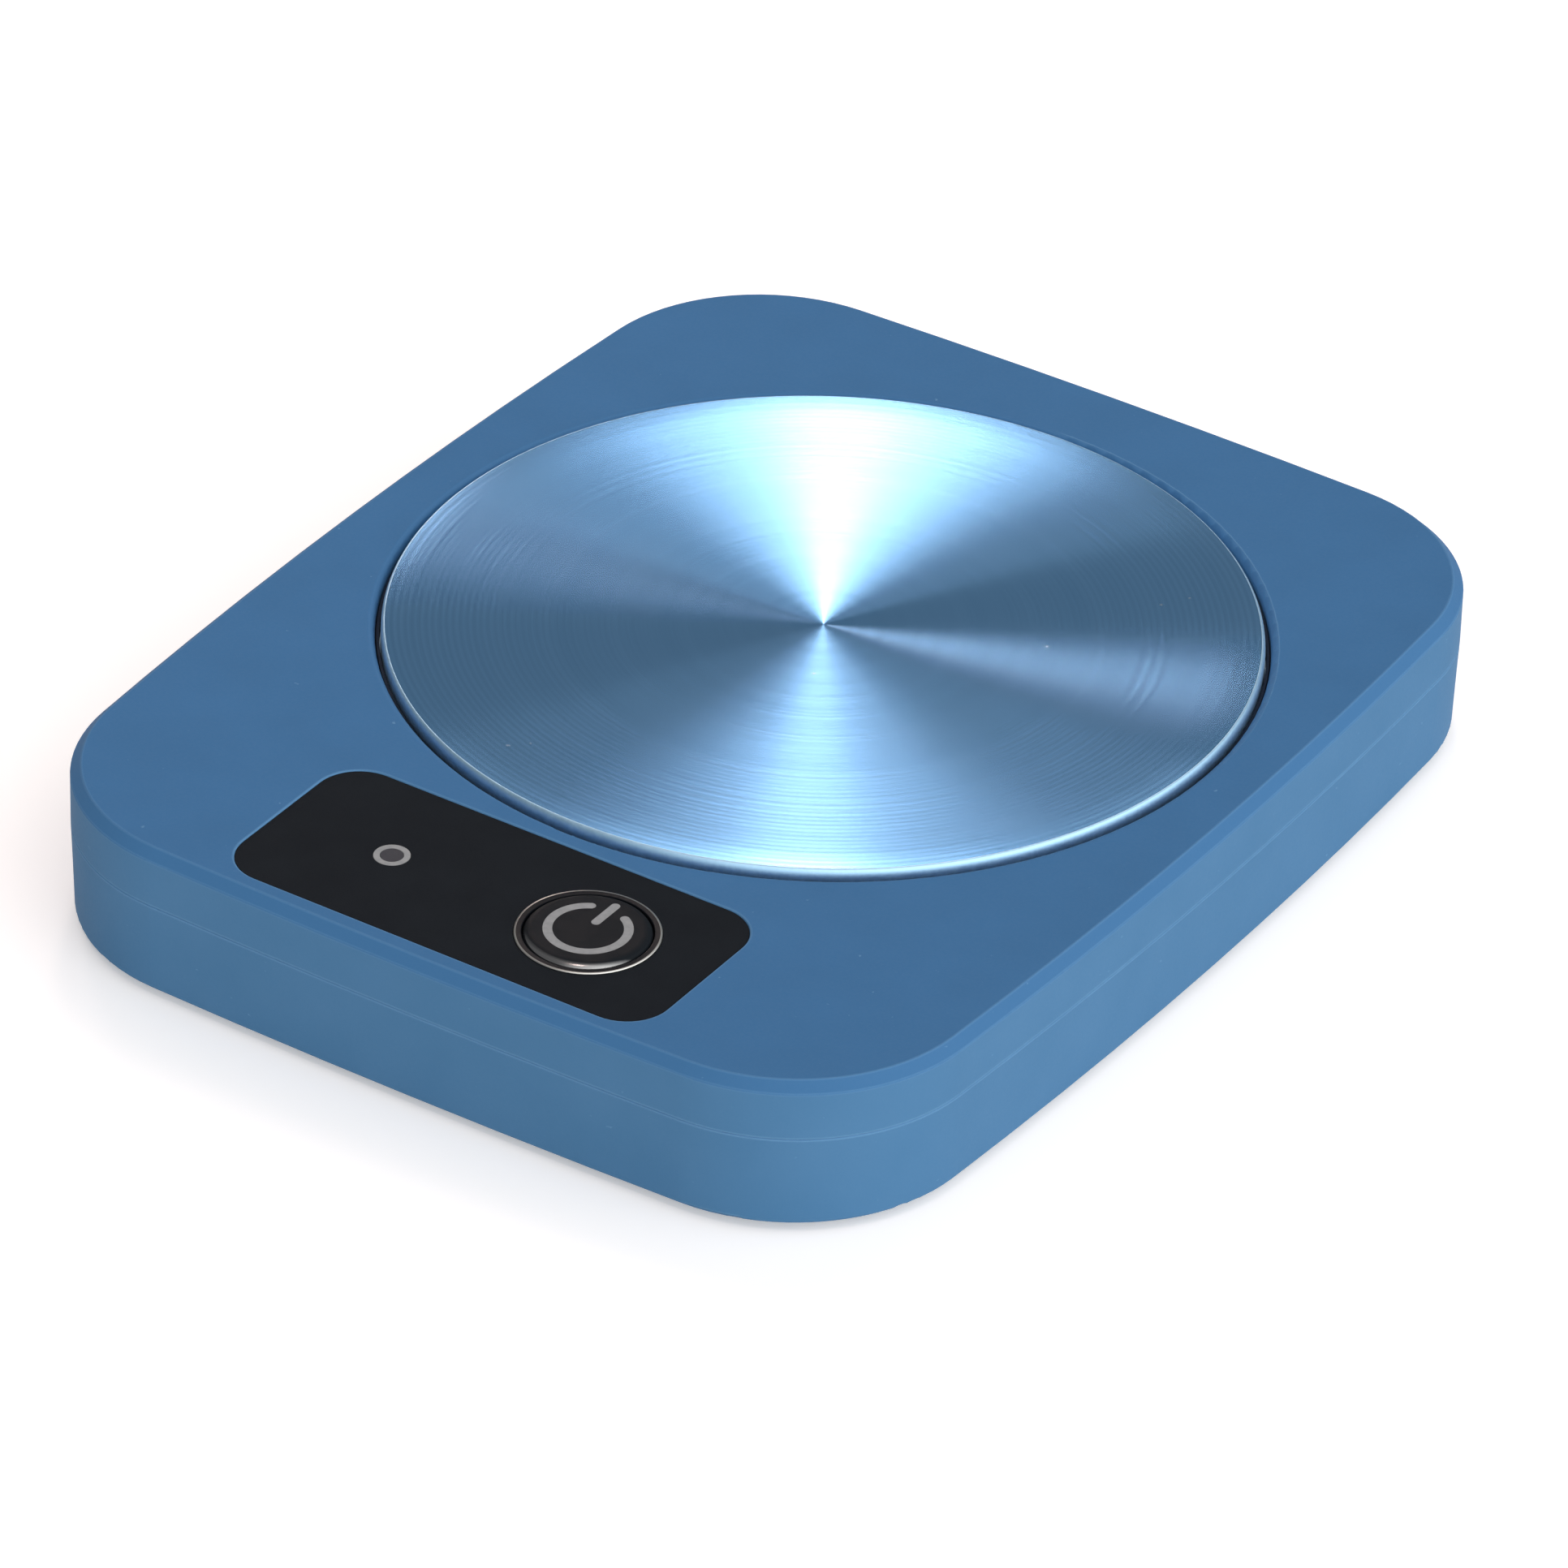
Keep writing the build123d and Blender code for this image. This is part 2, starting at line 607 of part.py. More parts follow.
# ---- Base shell ----------------------------------------------------------------------
with BuildPart() as base_shell:
    with BuildSketch(Plane.XY.offset(seam)):
        add(case_outline())
    extrude(amount=-seam_height, taper=degrees(atan(base_draft / seam_height)))
    fillet(edges_at(base_shell, case_bottom), base_edge_fillet)
    chamfer(edges_at(base_shell, seam), seam_chamfer)
    with BuildSketch(Plane.XY.offset(floor_top)):
        add(case_outline(wall))
    extrude(amount=seam - floor_top, mode=Mode.SUBTRACT)
    # Rebate for the cover's lip.
    with BuildSketch(Plane.XY.offset(seam)):
        add(case_outline(wall - seam_lip_thickness - seat_gap))
    extrude(amount=-(seam_lip_depth + loose_gap), mode=Mode.SUBTRACT)
    # Columns of the case screws.
    with BuildSketch(Plane.XY.offset(floor_top)):
        with Locations(*case_screw_points):
            Circle(column_radius)
    extrude(amount=column_top - floor_top)
    # Standoffs of the control board.
    with BuildSketch(Plane.XY.offset(floor_top)):
        with Locations(*board_screw_points):
            Circle(board_screw_radius + standoff_wall)
    extrude(amount=board_stand)
    # Standoffs and rest of the inlet board.
    with BuildSketch(Plane.XY.offset(floor_top)):
        with Locations(*inlet_screw_points):
            Circle(board_screw_radius + standoff_wall)
        with Locations((0, inlet_board_back - inlet_rest_inset)):
            Rectangle(inlet_rest_width, rib_thickness)
    extrude(amount=inlet_stand)
    # Cross ribs, which the supply leads lie on.
    with BuildSketch(plate_axis.offset(floor_top)):
        with GridLocations(0, rib_spacing, 1, 2):
            Rectangle(rib_length, rib_thickness)
    extrude(amount=supply_lead_level - supply_lead_radius - seat_gap - floor_top)
    # Screw holes.
    with BuildSketch(Plane.XY.offset(case_bottom)):
        with Locations(*case_screw_points):
            Circle(case_screw_head_radius + loose_gap)
    extrude(amount=counterbore_depth, mode=Mode.SUBTRACT)
    with BuildSketch(Plane.XY.offset(case_bottom)):
        with Locations(*case_screw_points):
            Circle(case_screw_radius + loose_gap)
    extrude(amount=column_height, mode=Mode.SUBTRACT)
    with BuildSketch(Plane.XY.offset(board_bottom)):
        with Locations(*board_screw_points):
            Circle(board_screw_radius + seat_gap)
    extrude(amount=-(board_screw_length - board_thickness + screw_end_gap), mode=Mode.SUBTRACT)
    with BuildSketch(Plane.XY.offset(inlet_board_bottom)):
        with Locations(*inlet_screw_points):
            Circle(board_screw_radius + seat_gap)
    extrude(amount=-(inlet_screw_length - inlet_board_thickness + screw_end_gap), mode=Mode.SUBTRACT)
    # Recesses for the feet.
    with BuildSketch(Plane.XY.offset(case_bottom)):
        with Locations(*foot_points):
            Circle(foot_radius + seat_gap)
    extrude(amount=foot_recess, mode=Mode.SUBTRACT)
    # Vents under the heater.
    with BuildSketch(plate_axis.offset(case_bottom)):
        with GridLocations(vent_pitch, 0, vent_count, 1):
            SlotOverall(vent_length, vent_width, rotation=90)
    extrude(amount=floor_thickness, mode=Mode.SUBTRACT)
    # Opening for the power inlet.
    with BuildSketch(inlet_plane.offset(-2 * inlet_setback)):
        SlotOverall(inlet_width + 2 * inlet_opening_gap, inlet_height + 2 * inlet_opening_gap)
    extrude(amount=wall + 2 * inlet_setback, mode=Mode.SUBTRACT)
base_shell.part.label = "base_shell"
export_step(base_shell.part, "parts/base_shell.step")

# ---- Feet ----------------------------------------------------------------------------
with BuildPart() as feet:
    with BuildSketch():
        with Locations(*foot_points):
            Circle(foot_radius)
    extrude(amount=foot_stand + foot_recess)
    chamfer(edges_at(feet, 0), foot_chamfer)
feet.part.label = "feet"
export_step(feet.part, "parts/feet.step")

# ---- Case screws ---------------------------------------------------------------------
with BuildPart() as case_screws:
    add(
        pan_head_screws(
            case_screw_points,
            case_screw_seat,
            case_screw_radius,
            case_screw_length,
            case_screw_head_radius,
            case_screw_head_height,
            shank_up=True,
        )
    )
case_screws.part.label = "case_screws"
export_step(case_screws.part, "parts/case_screws.step")

# ---- Heating plate -------------------------------------------------------------------
with BuildPart() as heating_plate:
    with BuildSketch(plate_axis.offset(flange_bottom)):
        Circle(flange_radius)
    extrude(amount=flange_thickness)
    with BuildSketch(plate_axis.offset(flange_bottom)):
        Circle(plate_radius)
    extrude(amount=plate_top - flange_bottom)
    chamfer(edges_at(heating_plate, plate_top), plate_chamfer)
    with BuildSketch(plate_axis.offset(flange_bottom)):
        Circle(pocket_radius)
    extrude(amount=pocket_top - flange_bottom, mode=Mode.SUBTRACT)
    with BuildSketch(Plane.XY.offset(pocket_top)):
        with Locations(*stud_points):
            Circle(stud_radius + seat_gap)
    extrude(amount=stud_seat, mode=Mode.SUBTRACT)
heating_plate.part.label = "heating_plate"
export_step(heating_plate.part, "parts/heating_plate.step")

# ---- Plate gasket, with a drip lip that stands in the groove ----------------------------
gasket_inner_radius = plate_radius + gasket_gap
drip_lip_radius = opening_radius - gasket_gap
with BuildPart() as plate_gasket:
    with BuildSketch(plate_axis.offset(flange_top)):
        Circle(flange_radius)
        Circle(gasket_inner_radius, mode=Mode.SUBTRACT)
    extrude(amount=gasket_thickness)
    with BuildSketch(plate_axis.offset(flange_top)):
        Circle(drip_lip_radius)
        Circle(gasket_inner_radius, mode=Mode.SUBTRACT)
    extrude(amount=gasket_thickness + drip_lip_height)
plate_gasket.part.label = "plate_gasket"
export_step(plate_gasket.part, "parts/plate_gasket.step")

# ---- Retaining ring ------------------------------------------------------------------
ear_length = retainer_screw_circle - flange_radius
ear_circle = retainer_screw_circle - ear_length / 2
with BuildPart() as plate_retainer:
    with BuildSketch(plate_axis.offset(retainer_bottom)):
        Circle(flange_radius + retainer_cover)
        with PolarLocations(retainer_screw_circle, retainer_screw_count, retainer_screw_start):
            Circle(retainer_ear_radius)
        with PolarLocations(ear_circle, retainer_screw_count, retainer_screw_start):
            Rectangle(ear_length, 2 * retainer_ear_radius)
        Circle(pocket_radius + retainer_inner_margin, mode=Mode.SUBTRACT)
        with PolarLocations(retainer_screw_circle, retainer_screw_count, retainer_screw_start):
            Circle(retainer_screw_radius + loose_gap, mode=Mode.SUBTRACT)
    extrude(amount=retainer_thickness)
plate_retainer.part.label = "plate_retainer"
export_step(plate_retainer.part, "parts/plate_retainer.step")

with BuildPart() as retainer_screws:
    add(
        pan_head_screws(
            retainer_screw_points,
            retainer_bottom,
            retainer_screw_radius,
            retainer_screw_length,
            retainer_head_radius,
            retainer_head_height,
            shank_up=True,
        )
    )
retainer_screws.part.label = "retainer_screws"
export_step(retainer_screws.part, "parts/retainer_screws.step")

# ---- Heater: a foil track between two mica sheets ----------------------------------------
with BuildPart() as upper_mica:
    with BuildSketch(Plane.XY.offset(track_top)):
        with Locations((0, plate_shift)):
            Circle(heater_radius)
        with Locations(*stud_points):
            Circle(stud_hole_radius, mode=Mode.SUBTRACT)
    extrude(amount=mica_thickness)
upper_mica.part.label = "upper_mica"
export_step(upper_mica.part, "parts/upper_mica.step")

with BuildPart() as lower_mica:
    with BuildSketch(Plane.XY.offset(lower_mica_bottom)):
        with Locations((0, plate_shift)):
            Circle(heater_radius)
        with Locations(*stud_points):
            Circle(stud_hole_radius, mode=Mode.SUBTRACT)
    extrude(amount=mica_thickness)
lower_mica.part.label = "lower_mica"
export_step(lower_mica.part, "parts/lower_mica.step")

# The track winds to and fro over each half of the heater, and the inner turn joins the halves.
with BuildPart() as heater_track:
    with BuildSketch(plate_axis.offset(lower_mica_top)):
        for turn in range(track_turns):
            turn_radius = track_radius - turn * track_pitch
            half_angle = 180 - 2 * track_gap_angle
            for start in (track_gap_angle - 90, track_gap_angle + 90):
                with BuildLine() as turn_line:
                    CenterArc((0, 0), turn_radius, start, half_angle)
                trace(turn_line.line, track_width)
        # Steps between the turns, at the rear and the front in turn.
        for turn in range(track_turns - 1):
            step_angle = 90 if turn % 2 == 0 else -90
            for side in (-1, 1):
                step_turn = radians(step_angle + side * track_gap_angle)
                outer = track_radius - turn * track_pitch + track_width / 2
                inner = outer - track_pitch - track_width
                with BuildLine() as step_line:
                    Line(
                        (outer * cos(step_turn), outer * sin(step_turn)),
                        (inner * cos(step_turn), inner * sin(step_turn)),
                    )
                trace(step_line.line, track_width)
        with BuildLine() as join_line:
            CenterArc((0, 0), inner_track_radius, 90 - track_gap_angle, 2 * track_gap_angle)
        trace(join_line.line, track_width)
    extrude(amount=track_thickness)
heater_track.part.label = "heater_track"
export_step(heater_track.part, "parts/heater_track.step")

# ---- Insulation pad and clamp plate, both notched for the terminals ----------------------
notch_place = (0, plate_shift - clamp_plate_radius)
with BuildPart() as insulation_pad:
    with BuildSketch(Plane.XY.offset(clamp_plate_top)):
        with Locations((0, plate_shift)):
            Circle(clamp_plate_radius)
        with Locations(*stud_points):
            Circle(stud_hole_radius, mode=Mode.SUBTRACT)
        with Locations(notch_place):
            Rectangle(notch_width, 2 * notch_depth, mode=Mode.SUBTRACT)
    extrude(amount=pad_thickness)
insulation_pad.part.label = "insulation_pad"
export_step(insulation_pad.part, "parts/insulation_pad.step")

with BuildPart() as clamp_plate:
    with BuildSketch(Plane.XY.offset(clamp_plate_bottom)):
        with Locations((0, plate_shift)):
            Circle(clamp_plate_radius)
        with Locations(*stud_points):
            Circle(stud_hole_radius, mode=Mode.SUBTRACT)
        with Locations(notch_place):
            Rectangle(notch_width, 2 * notch_depth, mode=Mode.SUBTRACT)
        with Locations((bracket_screw_x, bracket_y)):
            Circle(bracket_screw_radius + seat_gap, mode=Mode.SUBTRACT)
    extrude(amount=clamp_plate_thickness)
clamp_plate.part.label = "clamp_plate"
export_step(clamp_plate.part, "parts/clamp_plate.step")

# ---- Studs, washers and nuts that press the stack on the plate ----------------------------
with BuildPart() as plate_studs:
    with BuildSketch(Plane.XY.offset(stud_bottom)):
        with Locations(*stud_points):
            Circle(stud_radius)
    extrude(amount=pocket_top + stud_seat - stud_bottom)
plate_studs.part.label = "plate_studs"
export_step(plate_studs.part, "parts/plate_studs.step")

with BuildPart() as stud_washers:
    with BuildSketch(Plane.XY.offset(nut_top)):
        with Locations(*stud_points):
            Circle(washer_radius)
            Circle(stud_hole_radius, mode=Mode.SUBTRACT)
    extrude(amount=washer_thickness)
stud_washers.part.label = "stud_washers"
export_step(stud_washers.part, "parts/stud_washers.step")

with BuildPart() as stud_nuts:
    with BuildSketch(Plane.XY.offset(nut_top)):
        with Locations(*stud_points):
            RegularPolygon(nut_across_flats / 2, nut_sides, major_radius=False)
            Circle(stud_radius + seat_gap, mode=Mode.SUBTRACT)
    extrude(amount=-nut_height)
stud_nuts.part.label = "stud_nuts"
export_step(stud_nuts.part, "parts/stud_nuts.step")

# ---- Heater terminals: a tab on the mica, a leg and a crimp barrel --------------------------
# The left one feeds the plug straight ahead, the right one runs back to the fuse.
terminals = ((-1, -1, connector_level), (1, 1, fuse_level))
with BuildPart() as heater_terminals:
    for side, way, level in terminals:
        with BuildSketch(Plane((side * terminal_x, terminal_y, lower_mica_bottom))):
            Rectangle(terminal_width, terminal_width)
        extrude(amount=-terminal_thickness)
        with BuildSketch(Plane((side * terminal_x, leg_y, lower_mica_bottom))):
            Rectangle(terminal_width, terminal_thickness)
        extrude(amount=level - lower_mica_bottom)
        with BuildSketch(Plane((side * terminal_x, leg_y, level), z_dir=(0, way, 0))):
            Circle(crimp_radius)
        extrude(amount=crimp_length)
heater_terminals.part.label = "heater_terminals"
export_step(heater_terminals.part, "parts/heater_terminals.step")

# ---- Thermal fuse and its splice -------------------------------------------------------
with BuildPart() as thermal_fuse:
    with BuildSketch(Plane((terminal_x, fuse_lead_start, fuse_level), z_dir=(0, 1, 0))):
        Circle(fuse_lead_radius)
    extrude(amount=splice_start - fuse_lead_start)
    with BuildSketch(Plane((terminal_x, fuse_start, fuse_level), z_dir=(0, 1, 0))):
        Circle(fuse_radius)
    extrude(amount=fuse_length)
thermal_fuse.part.label = "thermal_fuse"
export_step(thermal_fuse.part, "parts/thermal_fuse.step")

with BuildPart() as fuse_splice:
    with BuildSketch(Plane((terminal_x, splice_start, fuse_level), z_dir=(0, 1, 0))):
        Circle(splice_radius)
    extrude(amount=splice_length)
fuse_splice.part.label = "fuse_splice"
export_step(fuse_splice.part, "parts/fuse_splice.step")

# ---- Thermistor ----------------------------------------------------------------------
sensor_start = bracket_y - sensor_length / 2
with BuildPart() as thermistor:
    with BuildSketch(Plane((sensor_x, sensor_start, sensor_level), z_dir=(0, 1, 0))):
        Circle(sensor_radius)
    extrude(amount=sensor_length)
thermistor.part.label = "thermistor"
export_step(thermistor.part, "parts/thermistor.step")

# ---- Bracket that holds the fuse and the thermistor on the clamp plate -----------------------
# Drawn across, with the sketch's X along the part's X and its Y up.
with BuildPart() as sensor_bracket:
    bracket_plane = Plane(
        (0, bracket_y + bracket_width / 2, clamp_plate_bottom), x_dir=(1, 0, 0), z_dir=(0, -1, 0)
    )
    fuse_place = (terminal_x, fuse_level - clamp_plate_bottom)
    sensor_place = (sensor_x, sensor_level - clamp_plate_bottom)
    with BuildSketch(bracket_plane):
        with Locations(fuse_place):
            Circle(fuse_radius + loose_gap + bracket_thickness)
        with Locations(sensor_place):
            Circle(sensor_radius + loose_gap + bracket_thickness)
        with Locations(((terminal_x + sensor_x) / 2, -bracket_thickness / 2)):
            Rectangle(sensor_x - terminal_x, bracket_thickness)
        with Locations(fuse_place):
            Circle(fuse_radius + loose_gap, mode=Mode.SUBTRACT)
        with Locations(sensor_place):
            Circle(sensor_radius + loose_gap, mode=Mode.SUBTRACT)
        with Locations((0, clamp_plate_radius / 2)):
            Rectangle(2 * clamp_plate_radius, clamp_plate_radius, mode=Mode.SUBTRACT)
    extrude(amount=bracket_width)
    with BuildSketch(Plane.XY.offset(clamp_plate_bottom)):
        with Locations((bracket_screw_x, bracket_y)):
            Circle(bracket_screw_radius + seat_gap)
    extrude(amount=-bracket_thickness, mode=Mode.SUBTRACT)
sensor_bracket.part.label = "sensor_bracket"
export_step(sensor_bracket.part, "parts/sensor_bracket.step")

with BuildPart() as bracket_screw:
    add(
        pan_head_screws(
            [(bracket_screw_x, bracket_y)],
            clamp_plate_bottom - bracket_thickness,
            bracket_screw_radius,
            bracket_thickness + clamp_plate_thickness,
            bracket_screw_head_radius,
            bracket_screw_head_height,
            shank_up=True,
        )
    )
bracket_screw.part.label = "bracket_screw"
export_step(bracket_screw.part, "parts/bracket_screw.step")

# ---- Control panel -------------------------------------------------------------------
with BuildPart() as control_panel:
    with BuildSketch(panel_plane.offset(recess_level)):
        RectangleRounded(panel_width, panel_depth, panel_corner)
        with Locations((button_x, 0)):
            Circle(bezel_radius + seat_gap, mode=Mode.SUBTRACT)
        with Locations((indicator_x, 0)):
            Circle(light_guide_radius + seat_gap, mode=Mode.SUBTRACT)
    extrude(amount=panel_thickness)
    with BuildSketch(indicator_axis.offset(panel_top)):
        Circle(indicator_ring_radius + seat_gap)
    extrude(amount=-indicator_ring_depth, mode=Mode.SUBTRACT)
control_panel.part.label = "control_panel"
export_step(control_panel.part, "parts/control_panel.step")

# ---- Bezel round the button, with a sleeve through the roof -------------------------------
with BuildPart() as button_bezel:
    with BuildSketch(button_axis.offset(recess_level)):
        Circle(bezel_radius)
    extrude(amount=bezel_top - recess_level)
    with BuildSketch(button_axis.offset(recess_level)):
        Circle(bezel_sleeve_radius)
    extrude(amount=roof_bottom - recess_level)
    with BuildSketch(button_axis.offset(roof_bottom)):
        Circle(bezel_bore)
    extrude(amount=bezel_top - roof_bottom, mode=Mode.SUBTRACT)
    fillet(edges_at(button_bezel, bezel_top), bezel_softening)
button_bezel.part.label = "button_bezel"
export_step(button_bezel.part, "parts/button_bezel.step")

# ---- Power button: a hollow cap with a flange, a key and a stem ----------------------------
crown_bottom = button_top - button_crown
with BuildPart() as power_button:
    with BuildSketch(button_axis.offset(button_flange_bottom)):
        Circle(button_radius)
    extrude(amount=button_top - button_flange_bottom)
    fillet(edges_at(power_button, button_top), button_edge_radius)
    with BuildSketch(button_axis.offset(button_flange_bottom)):
        Circle(button_flange_radius)
        with Locations((0, -button_flange_radius)):
            Rectangle(key_width, 2 * key_reach)
    extrude(amount=button_flange_thickness)
    with BuildSketch(button_axis.offset(button_flange_bottom)):
        Circle(button_radius - button_skirt)
    extrude(amount=crown_bottom - button_flange_bottom, mode=Mode.SUBTRACT)
    with BuildSketch(button_axis.offset(plunger_top + seat_gap)):
        Circle(stem_radius)
    extrude(amount=crown_bottom - plunger_top - seat_gap)
    add(symbol_outline.sketch)
    extrude(amount=-symbol_depth, mode=Mode.SUBTRACT)
power_button.part.label = "power_button"
export_step(power_button.part, "parts/power_button.step")

with BuildPart() as power_symbol:
    add(symbol_outline.sketch)
    extrude(amount=-symbol_depth)
power_symbol.part.label = "power_symbol"
export_step(power_symbol.part, "parts/power_symbol.step")

# ---- Indicator ring and light guide -------------------------------------------------------
with BuildPart() as indicator_ring:
    with BuildSketch(indicator_axis.offset(panel_top)):
        Circle(indicator_ring_radius)
        Circle(light_guide_radius + seat_gap, mode=Mode.SUBTRACT)
    extrude(amount=-indicator_ring_depth)
indicator_ring.part.label = "indicator_ring"
export_step(indicator_ring.part, "parts/indicator_ring.step")

light_guide_bottom = led_top + light_guide_gap
with BuildPart() as light_guide:
    with BuildSketch(indicator_axis.offset(roof_bottom)):
        Circle(light_guide_radius)
    extrude(amount=panel_top - roof_bottom)
    with BuildSketch(indicator_axis.offset(roof_bottom)):
        Circle(light_guide_collar_radius)
    extrude(amount=-light_guide_collar_height)
    with BuildSketch(indicator_axis.offset(light_guide_bottom)):
        Circle(light_guide_foot_radius)
    extrude(amount=roof_bottom - light_guide_bottom)
light_guide.part.label = "light_guide"
export_step(light_guide.part, "parts/light_guide.step")

# ---- Control board -------------------------------------------------------------------
with BuildPart() as control_board:
    with BuildSketch(Plane.XY.offset(board_bottom)):
        with Locations((0, board_y)):
            Rectangle(board_width, board_depth)
        with Locations(*board_screw_points):
            Circle(board_screw_radius + loose_gap, mode=Mode.SUBTRACT)
    extrude(amount=board_thickness)
control_board.part.label = "control_board"
export_step(control_board.part, "parts/control_board.step")

with BuildPart() as board_screws:
    add(
        pan_head_screws(
            board_screw_points,
            board_top,
            board_screw_radius,
            board_screw_length,
            board_screw_head_radius,
            board_screw_head_height,
            shank_up=False,
        )
    )
board_screws.part.label = "board_screws"
export_step(board_screws.part, "parts/board_screws.step")

# ---- Tact switch: base, frame, snap dome and plunger -----------------------------------------
switch_frame_bottom = switch_top - switch_frame_thickness
with BuildPart() as switch_base:
    with BuildSketch(button_axis.offset(board_top)):
        Rectangle(switch_size, switch_size)
    extrude(amount=switch_frame_bottom - board_top)
    with BuildSketch(button_axis.offset(dome_level)):
        Circle(switch_size / 2 - switch_wall)
    extrude(amount=switch_frame_bottom - dome_level, mode=Mode.SUBTRACT)
switch_base.part.label = "switch_base"
export_step(switch_base.part, "parts/switch_base.step")

with BuildPart() as switch_frame:
    with BuildSketch(button_axis.offset(switch_frame_bottom)):
        Rectangle(switch_size, switch_size)
        Circle(plunger_radius + loose_gap, mode=Mode.SUBTRACT)
    extrude(amount=switch_frame_thickness)
switch_frame.part.label = "switch_frame"
export_step(switch_frame.part, "parts/switch_frame.step")

dome_sphere_radius = (dome_radius**2 + dome_height**2) / (2 * dome_height)
with BuildPart() as switch_dome:
    with Locations((button_x, panel_y, dome_level + dome_height - dome_sphere_radius)):
        Sphere(dome_sphere_radius)
        Sphere(dome_sphere_radius - dome_thickness, mode=Mode.SUBTRACT)
    split(bisect_by=Plane.XY.offset(dome_level), keep=Keep.TOP)
switch_dome.part.label = "switch_dome"
export_step(switch_dome.part, "parts/switch_dome.step")

plunger_foot = dome_level + dome_height + seat_gap
with BuildPart() as switch_plunger:
    with BuildSketch(button_axis.offset(plunger_flange_bottom)):
        Circle(plunger_flange_radius)
    extrude(amount=plunger_flange_thickness)
    with BuildSketch(button_axis.offset(plunger_flange_bottom)):
        Circle(plunger_radius)
    extrude(amount=plunger_top - plunger_flange_bottom)
    with BuildSketch(button_axis.offset(plunger_foot)):
        Circle(plunger_foot_radius)
    extrude(amount=plunger_flange_bottom - plunger_foot)
switch_plunger.part.label = "switch_plunger"
export_step(switch_plunger.part, "parts/switch_plunger.step")

# ---- Components on the board -----------------------------------------------------------
chip_y = board_front + chip_inset
transistor_place = (transistor_side_inset - board_width / 2, board_front + transistor_inset, board_top)
capacitor_place = (capacitor_side_inset - board_width / 2, board_front + capacitor_inset, board_top)
inductor_place = (board_width / 2 - inductor_side_inset, board_front + inductor_inset, board_top)
resistors_place = (-resistors_shift, board_front + resistors_inset, board_top)
with BuildPart() as indicator_led:
    with BuildSketch(indicator_axis.offset(board_top)):
        Rectangle(led_width, led_depth)
    extrude(amount=led_height)
indicator_led.part.label = "indicator_led"
export_step(indicator_led.part, "parts/indicator_led.step")

with BuildPart() as controller_chip:
    with BuildSketch(Plane((0, chip_y, board_top + chip_lift))):
        Rectangle(chip_length, chip_depth)
    extrude(amount=chip_height)
controller_chip.part.label = "controller_chip"
export_step(controller_chip.part, "parts/controller_chip.step")

# Each pin is a foot on the board and a riser against the chip's side.
riser_height = chip_lift + chip_height / 2
with BuildPart() as controller_pins:
    for side in (-1, 1):
        edge_y = chip_y + side * chip_depth / 2
        with BuildSketch(Plane((0, edge_y + side * pin_reach / 2, board_top))):
            with GridLocations(pin_pitch, 0, pin_count, 1):
                Rectangle(pin_width, pin_reach)
        extrude(amount=pin_thickness)
        with BuildSketch(Plane((0, edge_y + side * pin_thickness / 2, board_top))):
            with GridLocations(pin_pitch, 0, pin_count, 1):
                Rectangle(pin_width, pin_thickness)
        extrude(amount=riser_height)
controller_pins.part.label = "controller_pins"
export_step(controller_pins.part, "parts/controller_pins.step")

with BuildPart() as power_transistor:
    with BuildSketch(Plane(transistor_place)):
        Rectangle(transistor_width, transistor_depth)
    extrude(amount=transistor_height)
power_transistor.part.label = "power_transistor"
export_step(power_transistor.part, "parts/power_transistor.step")

with BuildPart() as bulk_capacitor:
    with BuildSketch(Plane(capacitor_place)):
        Rectangle(2 * capacitor_radius, 2 * capacitor_radius)
    extrude(amount=capacitor_foot)
    with BuildSketch(Plane(capacitor_place)):
        Circle(capacitor_radius)
    extrude(amount=capacitor_height)
bulk_capacitor.part.label = "bulk_capacitor"
export_step(bulk_capacitor.part, "parts/bulk_capacitor.step")

with BuildPart() as power_inductor:
    with BuildSketch(Plane(inductor_place)):
        RectangleRounded(inductor_size, inductor_size, inductor_corner)
    extrude(amount=inductor_height)
power_inductor.part.label = "power_inductor"
export_step(power_inductor.part, "parts/power_inductor.step")

with BuildPart() as chip_resistors:
    with BuildSketch(Plane(resistors_place)):
        with GridLocations(resistor_pitch, resistor_pitch, resistor_columns, resistor_rows):
            Rectangle(resistor_length, resistor_width)
    extrude(amount=resistor_height)
chip_resistors.part.label = "chip_resistors"
export_step(chip_resistors.part, "parts/chip_resistors.step")

# ---- Headers and plugs -----------------------------------------------------------------
connectors = (
    ("heater", heater_plug_x, heater_pitch, heater_lead_radius),
    ("sensor", sensor_x, sensor_pitch, sensor_lead_radius),
    ("supply", supply_plug_x, supply_pitch, supply_lead_radius),
)
header_play = header_wall + loose_gap
plug_height = header_height - 2 * header_play
for use, plug_x, pitch, lead_radius in connectors:
    plug_width = pitch + 2 * (lead_radius + plug_side)
    # The mating face looks back, and depths run towards the front.
    mating_plane = Plane((plug_x, board_back, connector_level), x_dir=(1, 0, 0), z_dir=(0, -1, 0))
    with BuildPart() as header:
        with BuildSketch(mating_plane):
            Rectangle(plug_width + 2 * header_play, header_height)
        extrude(amount=header_depth)
        with BuildSketch(mating_plane):
            Rectangle(plug_width + 2 * loose_gap, plug_height + 2 * loose_gap)
        extrude(amount=plug_insertion + loose_gap, mode=Mode.SUBTRACT)
    header.part.label = f"{use}_header"
    export_step(header.part, f"parts/{use}_header.step")
    with BuildPart() as plug:
        with BuildSketch(mating_plane.offset(-plug_proud)):
            Rectangle(plug_width, plug_height)
        extrude(amount=plug_proud + plug_insertion)
    plug.part.label = f"{use}_plug"
    export_step(plug.part, f"parts/{use}_plug.step")

